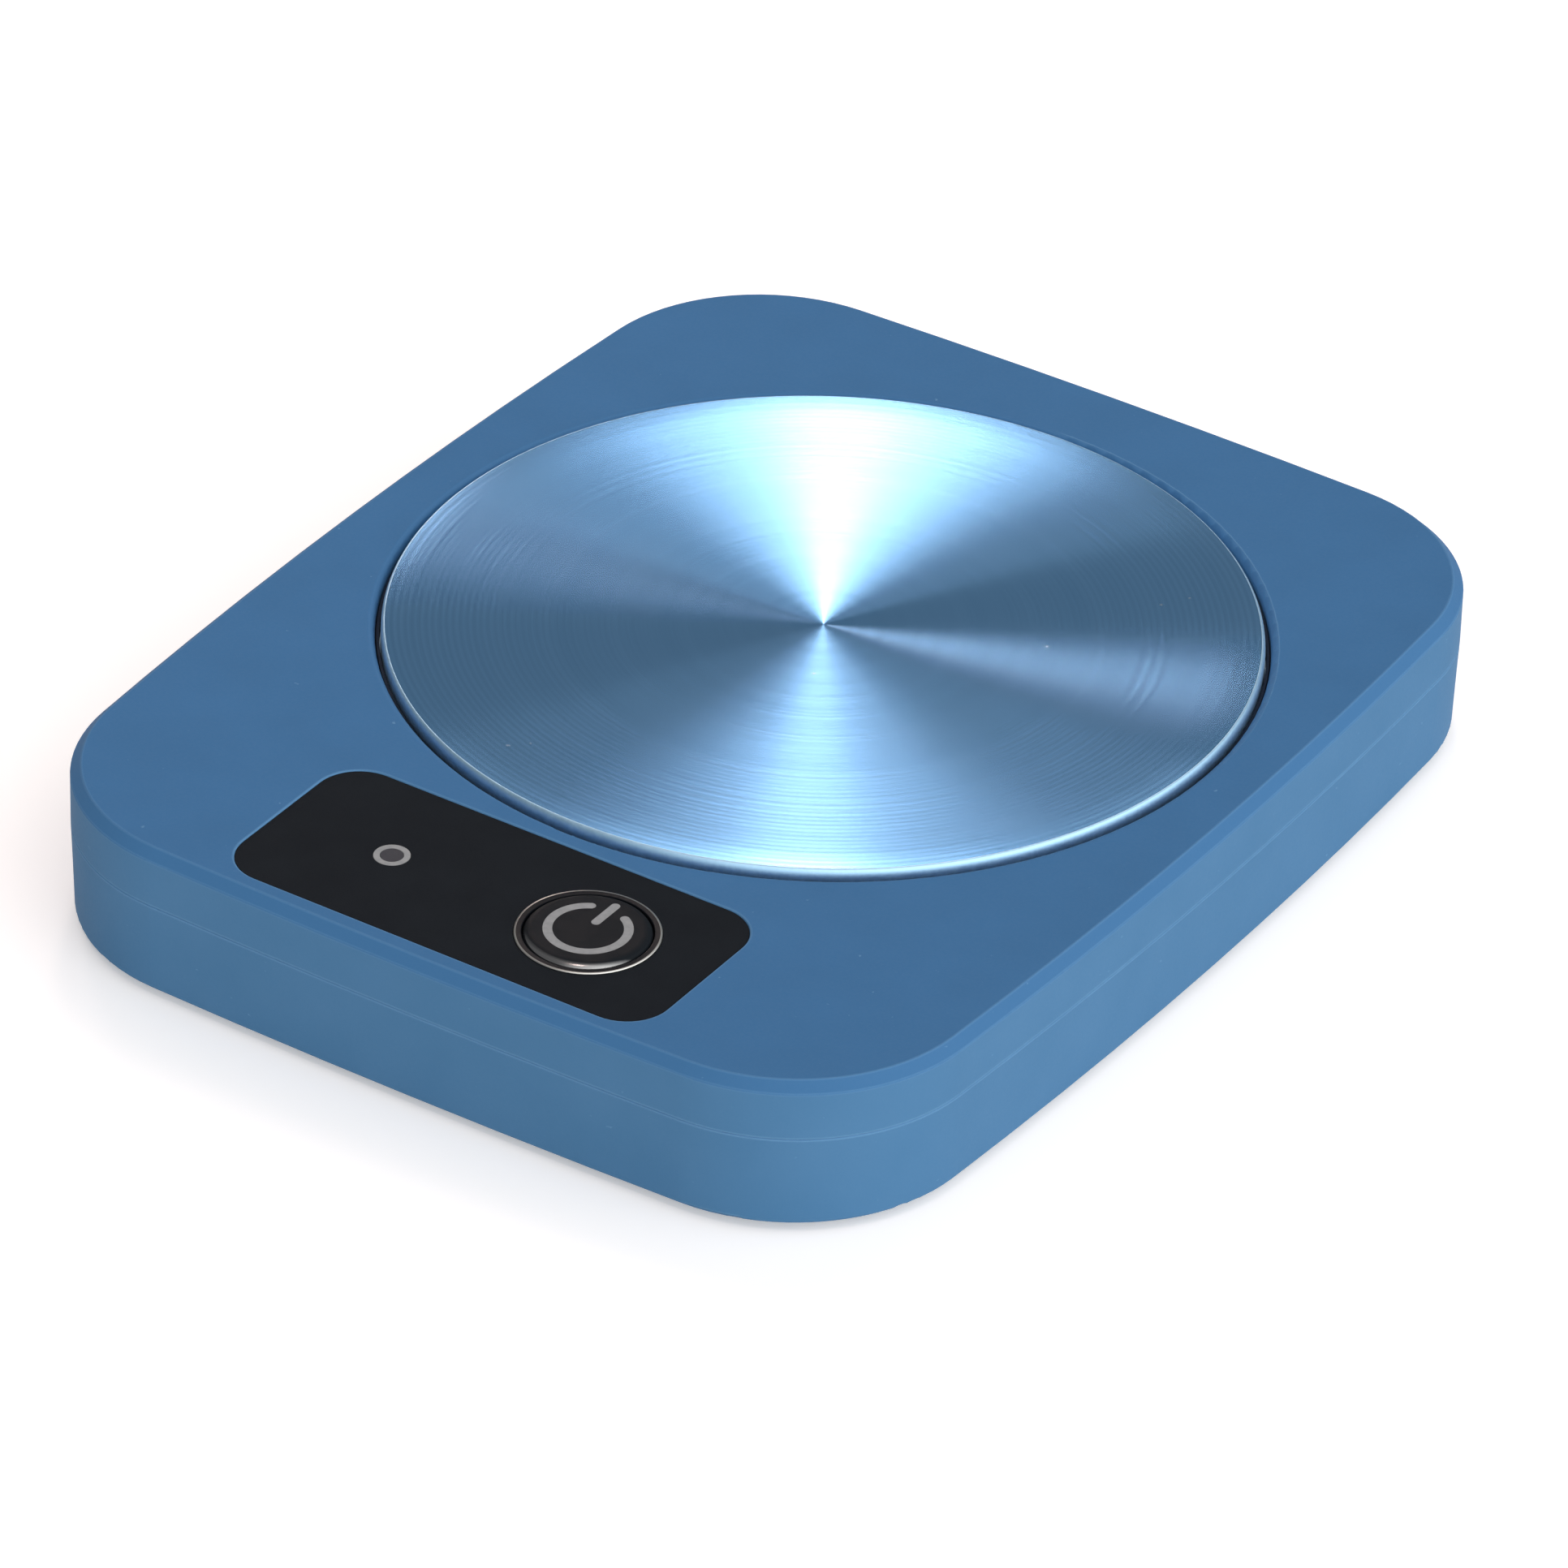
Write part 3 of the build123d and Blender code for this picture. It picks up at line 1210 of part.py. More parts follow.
# ---- Leads: straight runs joined by tangent bends ---------------------------------------------
direct_x = -terminal_x
return_x = direct_x - heater_pitch
return_side_x = return_x - return_lead_side
return_y = splice_end + return_lead_run
heater_routes = (
    [
        (direct_x, leg_y - crimp_length, connector_level),
        (direct_x, plug_back, connector_level),
    ],
    [
        (terminal_x, splice_end, fuse_level),
        (terminal_x, return_y, fuse_level),
        (return_side_x, return_y, fuse_level),
        (return_side_x, board_back + return_lead_turn, fuse_level),
        (return_x, board_back + return_lead_end, connector_level),
        (return_x, plug_back, connector_level),
    ],
)
sensor_routes = [
    [
        (sensor_x + side * sensor_pitch / 2, sensor_start, sensor_level),
        (sensor_x + side * sensor_pitch / 2, sensor_start - sensor_lead_run, sensor_level),
        (sensor_x + side * sensor_pitch / 2, board_back + sensor_lead_end, connector_level),
        (sensor_x + side * sensor_pitch / 2, plug_back, connector_level),
    ]
    for side in (-1, 1)
]
supply_routes = [
    [
        (side * supply_pitch / 2, inlet_board_front + pad_inset, supply_lead_level),
        (side * supply_pitch / 2, supply_lead_start, supply_lead_level),
        (supply_lead_x + side * supply_pitch / 2, supply_lead_start - supply_lead_out, supply_lead_level),
        (supply_lead_x + side * supply_pitch / 2, board_back + supply_lead_turn, supply_lead_level),
        (supply_plug_x + side * supply_pitch / 2, board_back + supply_lead_end, connector_level),
        (supply_plug_x + side * supply_pitch / 2, plug_back, connector_level),
    ]
    for side in (-1, 1)
]
lead_groups = (
    ("heater_leads", heater_routes, heater_lead_radius),
    ("sensor_leads", sensor_routes, sensor_lead_radius),
    ("supply_leads", supply_routes, supply_lead_radius),
)
for group_name, routes, lead_radius in lead_groups:
    with BuildPart() as leads:
        for points in routes:
            with BuildLine() as route:
                if len(points) == 2:
                    Line(*points)
                else:
                    FilletPolyline(*points, radius=bend_radii(points))
            with BuildSketch(Plane(route.line @ 0, z_dir=route.line % 0)):
                Circle(lead_radius)
            sweep(path=route.line)
    leads.part.label = group_name
    export_step(leads.part, f"parts/{group_name}.step")

# ---- Power inlet: board, shell, tongue and screws -----------------------------------------------
with BuildPart() as inlet_board:
    with BuildSketch(Plane.XY.offset(inlet_board_bottom)):
        with Locations((0, (inlet_board_front + inlet_board_back) / 2)):
            Rectangle(inlet_board_width, inlet_board_depth)
        with Locations(*inlet_screw_points):
            Circle(board_screw_radius + loose_gap, mode=Mode.SUBTRACT)
    extrude(amount=inlet_board_thickness)
inlet_board.part.label = "inlet_board"
export_step(inlet_board.part, "parts/inlet_board.step")

with BuildPart() as inlet_shell:
    with BuildSketch(inlet_plane):
        SlotOverall(inlet_width, inlet_height)
    extrude(amount=inlet_depth)
    with BuildSketch(inlet_plane):
        SlotOverall(inlet_width - 2 * inlet_shell_wall, inlet_height - 2 * inlet_shell_wall)
    extrude(amount=inlet_depth - inlet_shell_wall, mode=Mode.SUBTRACT)
inlet_shell.part.label = "inlet_shell"
export_step(inlet_shell.part, "parts/inlet_shell.step")

with BuildPart() as inlet_tongue:
    with BuildSketch(inlet_plane.offset(inlet_depth - inlet_shell_wall)):
        Rectangle(tongue_width, tongue_thickness)
    extrude(amount=-tongue_length)
inlet_tongue.part.label = "inlet_tongue"
export_step(inlet_tongue.part, "parts/inlet_tongue.step")

with BuildPart() as inlet_screws:
    add(
        pan_head_screws(
            inlet_screw_points,
            inlet_board_top,
            board_screw_radius,
            inlet_screw_length,
            board_screw_head_radius,
            board_screw_head_height,
            shank_up=False,
        )
    )
inlet_screws.part.label = "inlet_screws"
export_step(inlet_screws.part, "parts/inlet_screws.step")
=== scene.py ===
"""Looks of the electric mug warmer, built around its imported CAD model.

Metres, in the CAD model's frame: +Z is up, the feet stand on Z = 0 and the control
panel is towards -Y.
"""

import json
import math

import bmesh
import bpy
from mathutils import Matrix, Vector


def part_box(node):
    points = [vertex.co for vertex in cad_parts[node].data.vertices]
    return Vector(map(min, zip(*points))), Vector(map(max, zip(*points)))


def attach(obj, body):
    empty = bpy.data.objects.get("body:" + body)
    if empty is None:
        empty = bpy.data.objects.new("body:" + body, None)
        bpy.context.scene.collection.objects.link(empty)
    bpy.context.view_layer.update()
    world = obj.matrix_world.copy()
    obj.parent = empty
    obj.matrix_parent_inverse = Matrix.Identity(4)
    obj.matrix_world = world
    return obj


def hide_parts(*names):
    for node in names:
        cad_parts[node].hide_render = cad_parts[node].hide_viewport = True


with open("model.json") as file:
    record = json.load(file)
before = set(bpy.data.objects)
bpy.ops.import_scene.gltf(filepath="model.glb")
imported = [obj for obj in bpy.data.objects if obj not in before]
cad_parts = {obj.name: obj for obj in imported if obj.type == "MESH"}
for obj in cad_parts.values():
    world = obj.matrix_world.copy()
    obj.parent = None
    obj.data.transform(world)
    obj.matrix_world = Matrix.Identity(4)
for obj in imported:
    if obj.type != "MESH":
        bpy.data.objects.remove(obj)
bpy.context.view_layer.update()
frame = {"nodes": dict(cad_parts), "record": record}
MM = 0.001
scene = bpy.context.scene

# ---- Camera: the photograph's viewing angle and lens ---------------------------------
CAMERA_PLACE = (0.490378, -0.766122, 0.602212)
CAMERA_RIGHT = (0.83376943, 0.55157119, 0.02444908)
CAMERA_UP = (-0.32054357, 0.44753658, 0.834843)
CAMERA_BACK = (0.44953349, -0.70390357, 0.54994492)
CAMERA_LENS = 245.394  # millimetres, on a sensor 36 mm wide
SENSOR_WIDTH = 36.0

camera_data = bpy.data.cameras.new("camera")
camera_data.lens = CAMERA_LENS
camera_data.sensor_width = SENSOR_WIDTH
camera = bpy.data.objects.new("camera", camera_data)
scene.collection.objects.link(camera)
camera_rows = zip(CAMERA_RIGHT, CAMERA_UP, CAMERA_BACK, CAMERA_PLACE)
camera.matrix_world = Matrix([*camera_rows, (0, 0, 0, 1)])
scene.camera = camera


# ---- Materials -----------------------------------------------------------------------
class Look:
    """A Principled material, with short ways to add nodes to it."""

    def __init__(self, name, sockets):
        self.material = bpy.data.materials.new(name)
        self.material.use_nodes = True
        self.tree = self.material.node_tree
        self.shader = self.tree.nodes["Principled BSDF"]
        self.place = self.node("TexCoord", {}).outputs["Object"]
        for socket, value in sockets.items():
            self.set(socket, value)

    def set(self, socket, value):
        """Links an output to the shader's socket, or writes a constant on it."""
        if isinstance(value, bpy.types.NodeSocket):
            self.tree.links.new(value, self.shader.inputs[socket])
        else:
            value = (*value, 1.0) if isinstance(value, tuple) else value
            self.shader.inputs[socket].default_value = value

    def node(self, kind, inputs, **settings):
        """A new node, with its inputs linked or set and its settings made."""
        node = self.tree.nodes.new("ShaderNode" + kind)
        for setting, value in settings.items():
            setattr(node, setting, value)
        for socket, value in inputs.items():
            if isinstance(value, bpy.types.NodeSocket):
                self.tree.links.new(value, node.inputs[socket])
            else:
                node.inputs[socket].default_value = value
        return node

    def noise(self, size, detail=2.0, stretch=(1.0, 1.0, 1.0)):
        """Noise from 0 to 1 whose spots are about size metres wide."""
        place = self.node("Mapping", {"Vector": self.place, "Scale": stretch}).outputs[0]
        spots = {"Vector": place, "Scale": 1.0 / size, "Detail": detail}
        return self.node("TexNoise", spots).outputs["Fac"]

    def spread(self, value, low, high, start=0.3, end=0.7):
        """Value mapped from start..end to low..high, and clamped there."""
        return self.node("MapRange", {0: value, 1: start, 2: end, 3: low, 4: high}).outputs[0]

    def mix(self, share, first, second):
        """A colour between two, as share goes from 0 to 1."""
        ends = [(*c, 1.0) if isinstance(c, tuple) else c for c in (first, second)]
        return self.node("Mix", {0: share, 6: ends[0], 7: ends[1]}, data_type="RGBA").outputs[2]

    def math(self, operation, first, second=0.0):
        """Result of a Math node."""
        return self.node("Math", {0: first, 1: second}, operation=operation).outputs[0]

    def length(self, vector):
        """Length of a vector."""
        return self.node("VectorMath", {0: vector}, operation="LENGTH").outputs["Value"]

    def dot(self, first, second):
        """Dot product of two vectors."""
        sides = {0: first, 1: second}
        return self.node("VectorMath", sides, operation="DOT_PRODUCT").outputs["Value"]

    def facing(self):
        """The surface's normal."""
        return self.node("NewGeometry", {}).outputs["Normal"]

    def height_of(self, vector):
        """A vector's part along Z."""
        return self.node("SeparateXYZ", {0: vector}).outputs["Z"]

    def turned(self):
        """Makes the gloss run round the vertical axis, as on turned metal."""
        tangent = self.node("Tangent", {}, direction_type="RADIAL", axis="Z").outputs[0]
        self.set("Tangent", tangent)

    def radius(self, axis):
        """Distance from a vertical axis at (x, y)."""
        flat = {"Vector": self.place, "Location": (-axis[0], -axis[1], 0), "Scale": (1, 1, 0)}
        return self.length(self.node("Mapping", flat).outputs[0])

    def rings(self, axis, width, detail):
        """Noise from 0 to 1 in rings of about that width round an axis."""
        line = self.node("CombineXYZ", {0: self.radius(axis)}).outputs[0]
        spots = {"Vector": line, "Scale": 1.0 / width, "Detail": detail}
        return self.node("TexNoise", spots).outputs["Fac"]

    def vector(self, operation, first, second=(0.0, 0.0, 0.0), scale=1.0):
        """Result of a Vector Math node whose result is a vector."""
        inputs = {0: first, 1: second, 3: scale}
        return self.node("VectorMath", inputs, operation=operation).outputs["Vector"]

    def away_from(self, axis):
        """Level vector from a vertical axis at (x, y)."""
        off_axis = self.vector("SUBTRACT", self.place, (axis[0], axis[1], 0.0))
        return self.vector("MULTIPLY", off_axis, (1.0, 1.0, 0.0))

    def leaning(self, axis, slope):
        """Normal that leans away from a vertical axis by slope."""
        outward = self.vector("NORMALIZE", self.away_from(axis))
        lean = self.vector("SCALE", outward, scale=slope)
        return self.vector("NORMALIZE", self.vector("ADD", self.facing(), lean))

    def bump(self, height, depth, normal=None):
        """Normal of a relief that is depth metres high where height is 1."""
        relief = {"Height": height, "Distance": depth, "Strength": 1.0}
        if normal is not None:
            relief["Normal"] = normal
        return self.node("Bump", relief).outputs["Normal"]


def towards(azimuth, elevation):
    """Direction from the object, with azimuth 0 at -Y and 90 at +X, in degrees."""
    turn, rise = math.radians(azimuth), math.radians(elevation)
    level = math.cos(rise)
    return Vector((math.sin(turn) * level, -math.cos(turn) * level, math.sin(rise)))


def plain_look(name, colour, second, patch, rough, grain, depth, sockets=None):
    """Two near colours in soft patches, uneven gloss and a fine grain."""
    look = Look(name, sockets or {})
    patches = look.noise(patch, detail=4.0)
    look.set("Base Color", look.mix(look.spread(patches, 0.0, 1.0), colour, second))
    grains = look.noise(grain, detail=3.0)
    look.set("Roughness", look.spread(grains, rough[0], rough[1]))
    look.set("Normal", look.bump(grains, depth))
    return look


METAL = {"Metallic": 1.0}
PLAIN = {}

# Each slot's two colours, width of the patches, range of roughness, width and depth of the
# grain, and other sockets of the shader.
FINISHES = {
    "gasket": (
        (0.003, 0.012, 0.028), (0.004, 0.015, 0.034), 3 * MM, (0.7, 0.8),
        0.2 * MM, 5e-06, {"Specular IOR Level": 0.2},
    ),
    "heat_plastic": (
        (0.62, 0.59, 0.50), (0.66, 0.63, 0.54), 6 * MM, (0.5, 0.65),
        0.3 * MM, 8e-06, PLAIN,
    ),
    "screw_steel": (
        (0.55, 0.56, 0.58), (0.66, 0.66, 0.66), 1 * MM, (0.25, 0.45),
        0.1 * MM, 4e-06, METAL,
    ),
    "mica": (
        (0.40, 0.30, 0.15), (0.55, 0.45, 0.28), 4 * MM, (0.3, 0.5),
        0.5 * MM, 6e-06, PLAIN,
    ),
    "foil": (
        (0.45, 0.42, 0.38), (0.52, 0.49, 0.45), 2 * MM, (0.25, 0.45),
        0.1 * MM, 2e-06, METAL,
    ),
    "felt": (
        (0.72, 0.70, 0.65), (0.82, 0.80, 0.76), 2 * MM, (0.85, 0.95),
        0.15 * MM, 6e-05, PLAIN,
    ),
    "sheet_steel": (
        (0.52, 0.53, 0.55), (0.60, 0.61, 0.62), 5 * MM, (0.3, 0.45),
        0.15 * MM, 3e-06, METAL,
    ),
    "terminal_brass": (
        (0.60, 0.45, 0.16), (0.68, 0.54, 0.24), 1 * MM, (0.25, 0.4),
        0.1 * MM, 3e-06, METAL,
    ),
    "fuse_sleeve": (
        (0.70, 0.66, 0.56), (0.78, 0.75, 0.66), 1 * MM, (0.7, 0.85),
        0.2 * MM, 4e-05, PLAIN,
    ),
    "epoxy": (
        (0.01, 0.01, 0.011), (0.018, 0.018, 0.02), 2 * MM, (0.4, 0.6),
        0.08 * MM, 4e-06, PLAIN,
    ),
    "panel": (
        (0.0055, 0.009, 0.013), (0.007, 0.011, 0.0155), 5 * MM, (0.6, 0.7),
        0.12 * MM, 2e-06, {"Specular IOR Level": 0.05},
    ),
    "symbol": (
        (0.20, 0.225, 0.24), (0.25, 0.275, 0.29), 0.6 * MM, (0.5, 0.6),
        0.08 * MM, 2e-06, PLAIN,
    ),
    "light_guide": (
        (0.021, 0.027, 0.038), (0.026, 0.032, 0.044), 1 * MM, (0.4, 0.5),
        0.1 * MM, 1e-06, {"Specular IOR Level": 0.2},
    ),
    "black_moulding": (
        (0.012, 0.012, 0.013), (0.018, 0.018, 0.019), 1 * MM, (0.4, 0.5),
        0.1 * MM, 4e-06, PLAIN,
    ),
    "spring_steel": (
        (0.62, 0.62, 0.60), (0.70, 0.70, 0.68), 1 * MM, (0.15, 0.3),
        0.1 * MM, 1e-06, METAL,
    ),
    "led": (
        (0.80, 0.80, 0.68), (0.86, 0.86, 0.76), 0.5 * MM, (0.25, 0.4),
        0.1 * MM, 1e-06, PLAIN,
    ),
    "tinned": (
        (0.66, 0.67, 0.68), (0.74, 0.75, 0.76), 0.4 * MM, (0.2, 0.4),
        0.08 * MM, 2e-06, METAL,
    ),
    "can": (
        (0.72, 0.73, 0.75), (0.80, 0.81, 0.82), 2 * MM, (0.15, 0.3),
        0.2 * MM, 1e-06, METAL,
    ),
    "ferrite": (
        (0.03, 0.03, 0.033), (0.05, 0.05, 0.054), 1 * MM, (0.5, 0.7),
        0.1 * MM, 8e-06, PLAIN,
    ),
    "white_moulding": (
        (0.76, 0.74, 0.68), (0.82, 0.80, 0.74), 3 * MM, (0.35, 0.5),
        0.2 * MM, 4e-06, PLAIN,
    ),
    "heater_wire": (
        (0.26, 0.02, 0.014), (0.32, 0.03, 0.02), 2 * MM, (0.45, 0.6),
        0.2 * MM, 5e-06, PLAIN,
    ),
    "sensor_wire": (
        (0.012, 0.012, 0.013), (0.02, 0.02, 0.022), 2 * MM, (0.4, 0.5),
        0.2 * MM, 4e-06, PLAIN,
    ),
    "supply_wire": (
        (0.30, 0.026, 0.018), (0.36, 0.036, 0.026), 2 * MM, (0.35, 0.5),
        0.2 * MM, 4e-06, PLAIN,
    ),
    "feet": (
        (0.01, 0.011, 0.012), (0.017, 0.018, 0.02), 2 * MM, (0.7, 0.85),
        0.15 * MM, 1e-05, PLAIN,
    ),
}

# Rises (the Z of the normal) between which one tone passes into the next: the paler sides are
# painted light, the darker chamfer painted shade
LIT_SIDE_TO_SHADED_CHAMFER = {"start": 0.06, "end": 0.25}
SHADED_CHAMFER_TO_TOP = {"start": 0.95, "end": 0.995}
HOUSING_TOP = ((0.029, 0.133, 0.299), (0.032, 0.142, 0.319))
# Painted light and shade: the side tone is the top's blue made paler, the chamfer tone the same
# blue made darker
HOUSING_SIDE_LIT = ((0.054, 0.171, 0.329), (0.062, 0.183, 0.346))
HOUSING_CHAMFER_SHADED = (0.040, 0.150, 0.325)
HOUSING_WEAR_AND_HIGHLIGHT = (0.120, 0.280, 0.470)  # painted highlight along the edges and on the seam, and real wear in the scuffs
HOUSING_PATCH = 9 * MM
HOUSING_GRAIN = 0.32 * MM
HOUSING_GRAIN_DEPTH = 0.005 * MM
HOUSING_ROUGHNESS = (0.74, 0.82)
SEAM_HEIGHT = 11.35 * MM
SEAM_REACH = 0.25 * MM
SEAM_PATCH = 7 * MM
# Painted highlight along the seam, broken up unevenly
SEAM_HIGHLIGHT = 0.7
SCUFF_SIZE = 1.1 * MM
SCUFF_FLATTENED = (1.0, 1.0, 1.6)
SCUFF_RARITY = {"start": 0.75, "end": 0.80}
SCUFF_WEAR = 0.6
EDGE_RADIUS = 0.3 * MM
EDGE_BEND = {"start": 0.975, "end": 0.999}  # cosine between the rounded and the true normal
# Painted highlight along the rounded edges
EDGE_HIGHLIGHT = 0.8


def housing_look():
    """Blue matt moulding, with painted light on its sides, painted shade on its chamfer, painted
    highlights along its edges and seam, and paler wear in its scuffs.
    """
    look = Look("housing", {"Specular IOR Level": 0.35})
    patches = look.spread(look.noise(HOUSING_PATCH, detail=4.0), 0.0, 1.0)
    facing = look.facing()
    rise = look.height_of(facing)
    # Painted light and shade: paler sides and a darker chamfer, chosen by how far the surface
    # faces up
    roof, side = look.mix(patches, *HOUSING_TOP), look.mix(patches, *HOUSING_SIDE_LIT)
    lit_side_and_shaded_chamfer = look.mix(look.spread(rise, 0.0, 1.0, **LIT_SIDE_TO_SHADED_CHAMFER), side, HOUSING_CHAMFER_SHADED)
    body = look.mix(look.spread(rise, 0.0, 1.0, **SHADED_CHAMFER_TO_TOP), lit_side_and_shaded_chamfer, roof)

    # Painted highlights along the seam and the rounded edges, joined with the real scuffs
    height = look.height_of(look.place)
    off_seam = look.math("ABSOLUTE", look.math("SUBTRACT", height, SEAM_HEIGHT))
    at_seam = look.spread(off_seam, SEAM_HIGHLIGHT, 0.0, start=0.0, end=SEAM_REACH)
    uneven = look.spread(look.noise(SEAM_PATCH, detail=4.0), 0.1, 1.0)
    seam = look.math("MULTIPLY", at_seam, uneven)
    spots = look.noise(SCUFF_SIZE, detail=2.0, stretch=SCUFF_FLATTENED)
    scuffs = look.spread(spots, 0.0, SCUFF_WEAR, **SCUFF_RARITY)
    rounded = look.node("Bevel", {"Radius": EDGE_RADIUS}, samples=6).outputs["Normal"]
    edges = look.spread(look.dot(rounded, facing), EDGE_HIGHLIGHT, 0.0, **EDGE_BEND)
    wear_and_highlight = look.math("MAXIMUM", look.math("MAXIMUM", seam, scuffs), edges)

    look.set("Base Color", look.mix(wear_and_highlight, body, HOUSING_WEAR_AND_HIGHLIGHT))
    grains = look.noise(HOUSING_GRAIN, detail=3.0)
    look.set("Roughness", look.spread(grains, *HOUSING_ROUGHNESS))
    look.set("Normal", look.bump(grains, HOUSING_GRAIN_DEPTH))
    return look


GLINT_AZIMUTH = 8.0  # where fingers have polished the cap's edge, in degrees
GLINT_REACH = {"start": 0.30, "end": 0.60}  # of the normal's part towards it
CAP_EDGE = {"start": 0.90, "end": 0.99}  # rises at which the cap's top ends
CAP_TONES = ((0.0050, 0.0078, 0.0110), (0.0065, 0.0095, 0.0130))
CAP_PATCH = 3 * MM
CAP_GRAIN = 0.3 * MM
CAP_GRAIN_DEPTH = 0.0005 * MM
CAP_ROUGHNESS = (0.50, 0.60)


def button_look():
    """Black satin cap, polished by fingers on the near side of its rounded edge."""
    look = Look("button", {"Coat Roughness": 0.24, "Coat IOR": 3.3, "Specular IOR Level": 0.08})
    facing = look.facing()
    edge = look.spread(look.height_of(facing), 1.0, 0.0, **CAP_EDGE)
    near = look.dot(facing, towards(GLINT_AZIMUTH, 0.0))
    polished = look.spread(near, 0.0, 1.0, **GLINT_REACH)
    patches = look.spread(look.noise(CAP_PATCH, detail=3.0), 0.0, 1.0)
    look.set("Base Color", look.mix(patches, *CAP_TONES))
    look.set("Coat Weight", look.math("MULTIPLY", edge, polished))
    look.set("Roughness", look.spread(patches, *CAP_ROUGHNESS))
    look.set("Normal", look.bump(look.noise(CAP_GRAIN, detail=3.0), CAP_GRAIN_DEPTH))
    return look


BEZEL_BRIGHT = 7.05 * MM  # from this radius out the ring is bare, and black inside it
BEZEL_BLEND = 0.05 * MM
BEZEL_LINES = 0.03 * MM
BEZEL_ROUGHNESS = (0.26, 0.38)
BEZEL_SLOPE = 0.6  # of the bare edge, outwards
BEZEL_TONES = ((0.006, 0.008, 0.011), (0.60, 0.60, 0.57))


def bezel_look():
    """Black ring with a bright cut edge, turned, so that its fine lines run round."""
    look = Look("bezel_metal", {"Anisotropic": 0.6, "Specular IOR Level": 0.1})
    low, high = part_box("button_bezel")
    axis = (low + high) / 2
    blend = {"start": BEZEL_BRIGHT, "end": BEZEL_BRIGHT + BEZEL_BLEND}
    bare = look.spread(look.radius(axis), 0.0, 1.0, **blend)
    look.set("Metallic", bare)
    look.set("Base Color", look.mix(bare, *BEZEL_TONES))
    look.set("Roughness", look.spread(look.rings(axis, BEZEL_LINES, 2.0), *BEZEL_ROUGHNESS))
    look.set("Normal", look.leaning(axis, look.math("MULTIPLY", bare, BEZEL_SLOPE)))
    look.turned()
    return look


PLATE_RADIUS = 45.0 * MM
PLATE_DARK = (0.187, 0.460, 0.827)
PLATE_LIGHT = (0.225, 0.516, 0.906)
PLATE_ROUGHNESS = (0.23, 0.25)
PLATE_CLOUD = 14 * MM  # width of the spots of uneven roughness
TONE_PITCH = 2.5 * MM
TONE_SHARES = (0.6, 0.4)  # of the fine grooves and of the broad rings in the tone
RIDGE_PITCH = 0.70 * MM
RIDGE_START = 12 * MM  # radius from which the turned lines show, more and more outwards
RIDGE_SHARE = 0.4
RIDGE_LEAN = 0.05
GROOVE_PITCH = 0.6 * MM
GROOVE_LEAN = (-0.06, -0.12)  # slope of the cut faces, inwards
FINE_GROOVE = 0.15 * MM
FINE_DEPTH = 0.003 * MM
PLATE_SPECK = (0.55, 0.70, 0.85)
PLATE_SPECKS = (  # place from the axis, and radius
    (-13.3 * MM, -37.2 * MM, 0.45 * MM),
    (-11.6 * MM, -35.6 * MM, 0.30 * MM),
    (20.8 * MM, 9.7 * MM, 0.40 * MM),
    (4.3 * MM, -8.3 * MM, 0.35 * MM),
    (26.0 * MM, 23.2 * MM, 0.35 * MM),
    (27.7 * MM, 26.0 * MM, 0.30 * MM),
)
SPECK_CORE = 0.7  # share of its radius over which a speck is full
SPECK_WEAR = 0.6
SPECK_ROUGHNESS = 0.3
SPECK_GRAIN = 0.3 * MM


def plate_look(axis):
    """Blue anodised aluminium, finely turned, so that it shines in rays from its middle."""
    look = Look("plate_metal", {"Metallic": 1.0, "Anisotropic": 1.0, "Anisotropic Rotation": 0.25})
    fine = look.rings(axis, FINE_GROOVE, 2.0)
    broad = look.rings(axis, TONE_PITCH, 2.0)
    parts = [look.math("MULTIPLY", *part) for part in zip((fine, broad), TONE_SHARES)]
    tone = look.spread(look.math("ADD", *parts), 0.0, 1.0)
    radius = look.radius(axis)
    wave = look.math("SINE", look.math("MULTIPLY", radius, 2 * math.pi / RIDGE_PITCH))
    outer = look.spread(radius, 0.0, RIDGE_SHARE, start=RIDGE_START, end=PLATE_RADIUS)
    ridge = look.math("MULTIPLY", wave, outer)
    metal = look.mix(look.math("ADD", tone, ridge), PLATE_DARK, PLATE_LIGHT)

    specks = 0.0
    for x, y, width in PLATE_SPECKS:
        away = look.length(look.away_from((axis[0] + x, axis[1] + y)))
        grain = look.math("MULTIPLY", look.noise(SPECK_GRAIN), width)
        reach = {"start": SPECK_CORE * width, "end": width}
        speck = look.spread(look.math("ADD", away, grain), SPECK_WEAR, 0.0, **reach)
        specks = look.math("MAXIMUM", specks, speck)
    look.set("Base Color", look.mix(specks, metal, PLATE_SPECK))
    gloss = look.spread(look.noise(PLATE_CLOUD, detail=4.0), *PLATE_ROUGHNESS)
    look.set("Roughness", look.math("ADD", look.math("MULTIPLY", specks, SPECK_ROUGHNESS), gloss))

    # The cut faces of the grooves lean inwards, each by a little more or less.
    groove = look.spread(look.rings(axis, GROOVE_PITCH, 1.0), *GROOVE_LEAN)
    slope = look.math("ADD", groove, look.math("MULTIPLY", ridge, RIDGE_LEAN))
    look.set("Normal", look.bump(fine, FINE_DEPTH, look.leaning(axis, slope)))
    look.turned()
    return look


# Pale tones that paint the highlight the rim catches
RIM_LIT_TONES = ((0.42, 0.68, 0.90), (0.48, 0.74, 0.95))
RIM_GRAIN = 0.4 * MM
RIM_ROUGHNESS = (0.46, 0.54)


def rim_look():
    """The plate's cut edge, paler as a painted highlight, and less finely turned."""
    look = Look("rim_metal", {"Metallic": 1.0})
    grains = look.noise(RIM_GRAIN, detail=3.0)
    look.set("Base Color", look.mix(look.spread(grains, 0.0, 1.0), *RIM_LIT_TONES))
    look.set("Roughness", look.spread(grains, *RIM_ROUGHNESS))
    return look


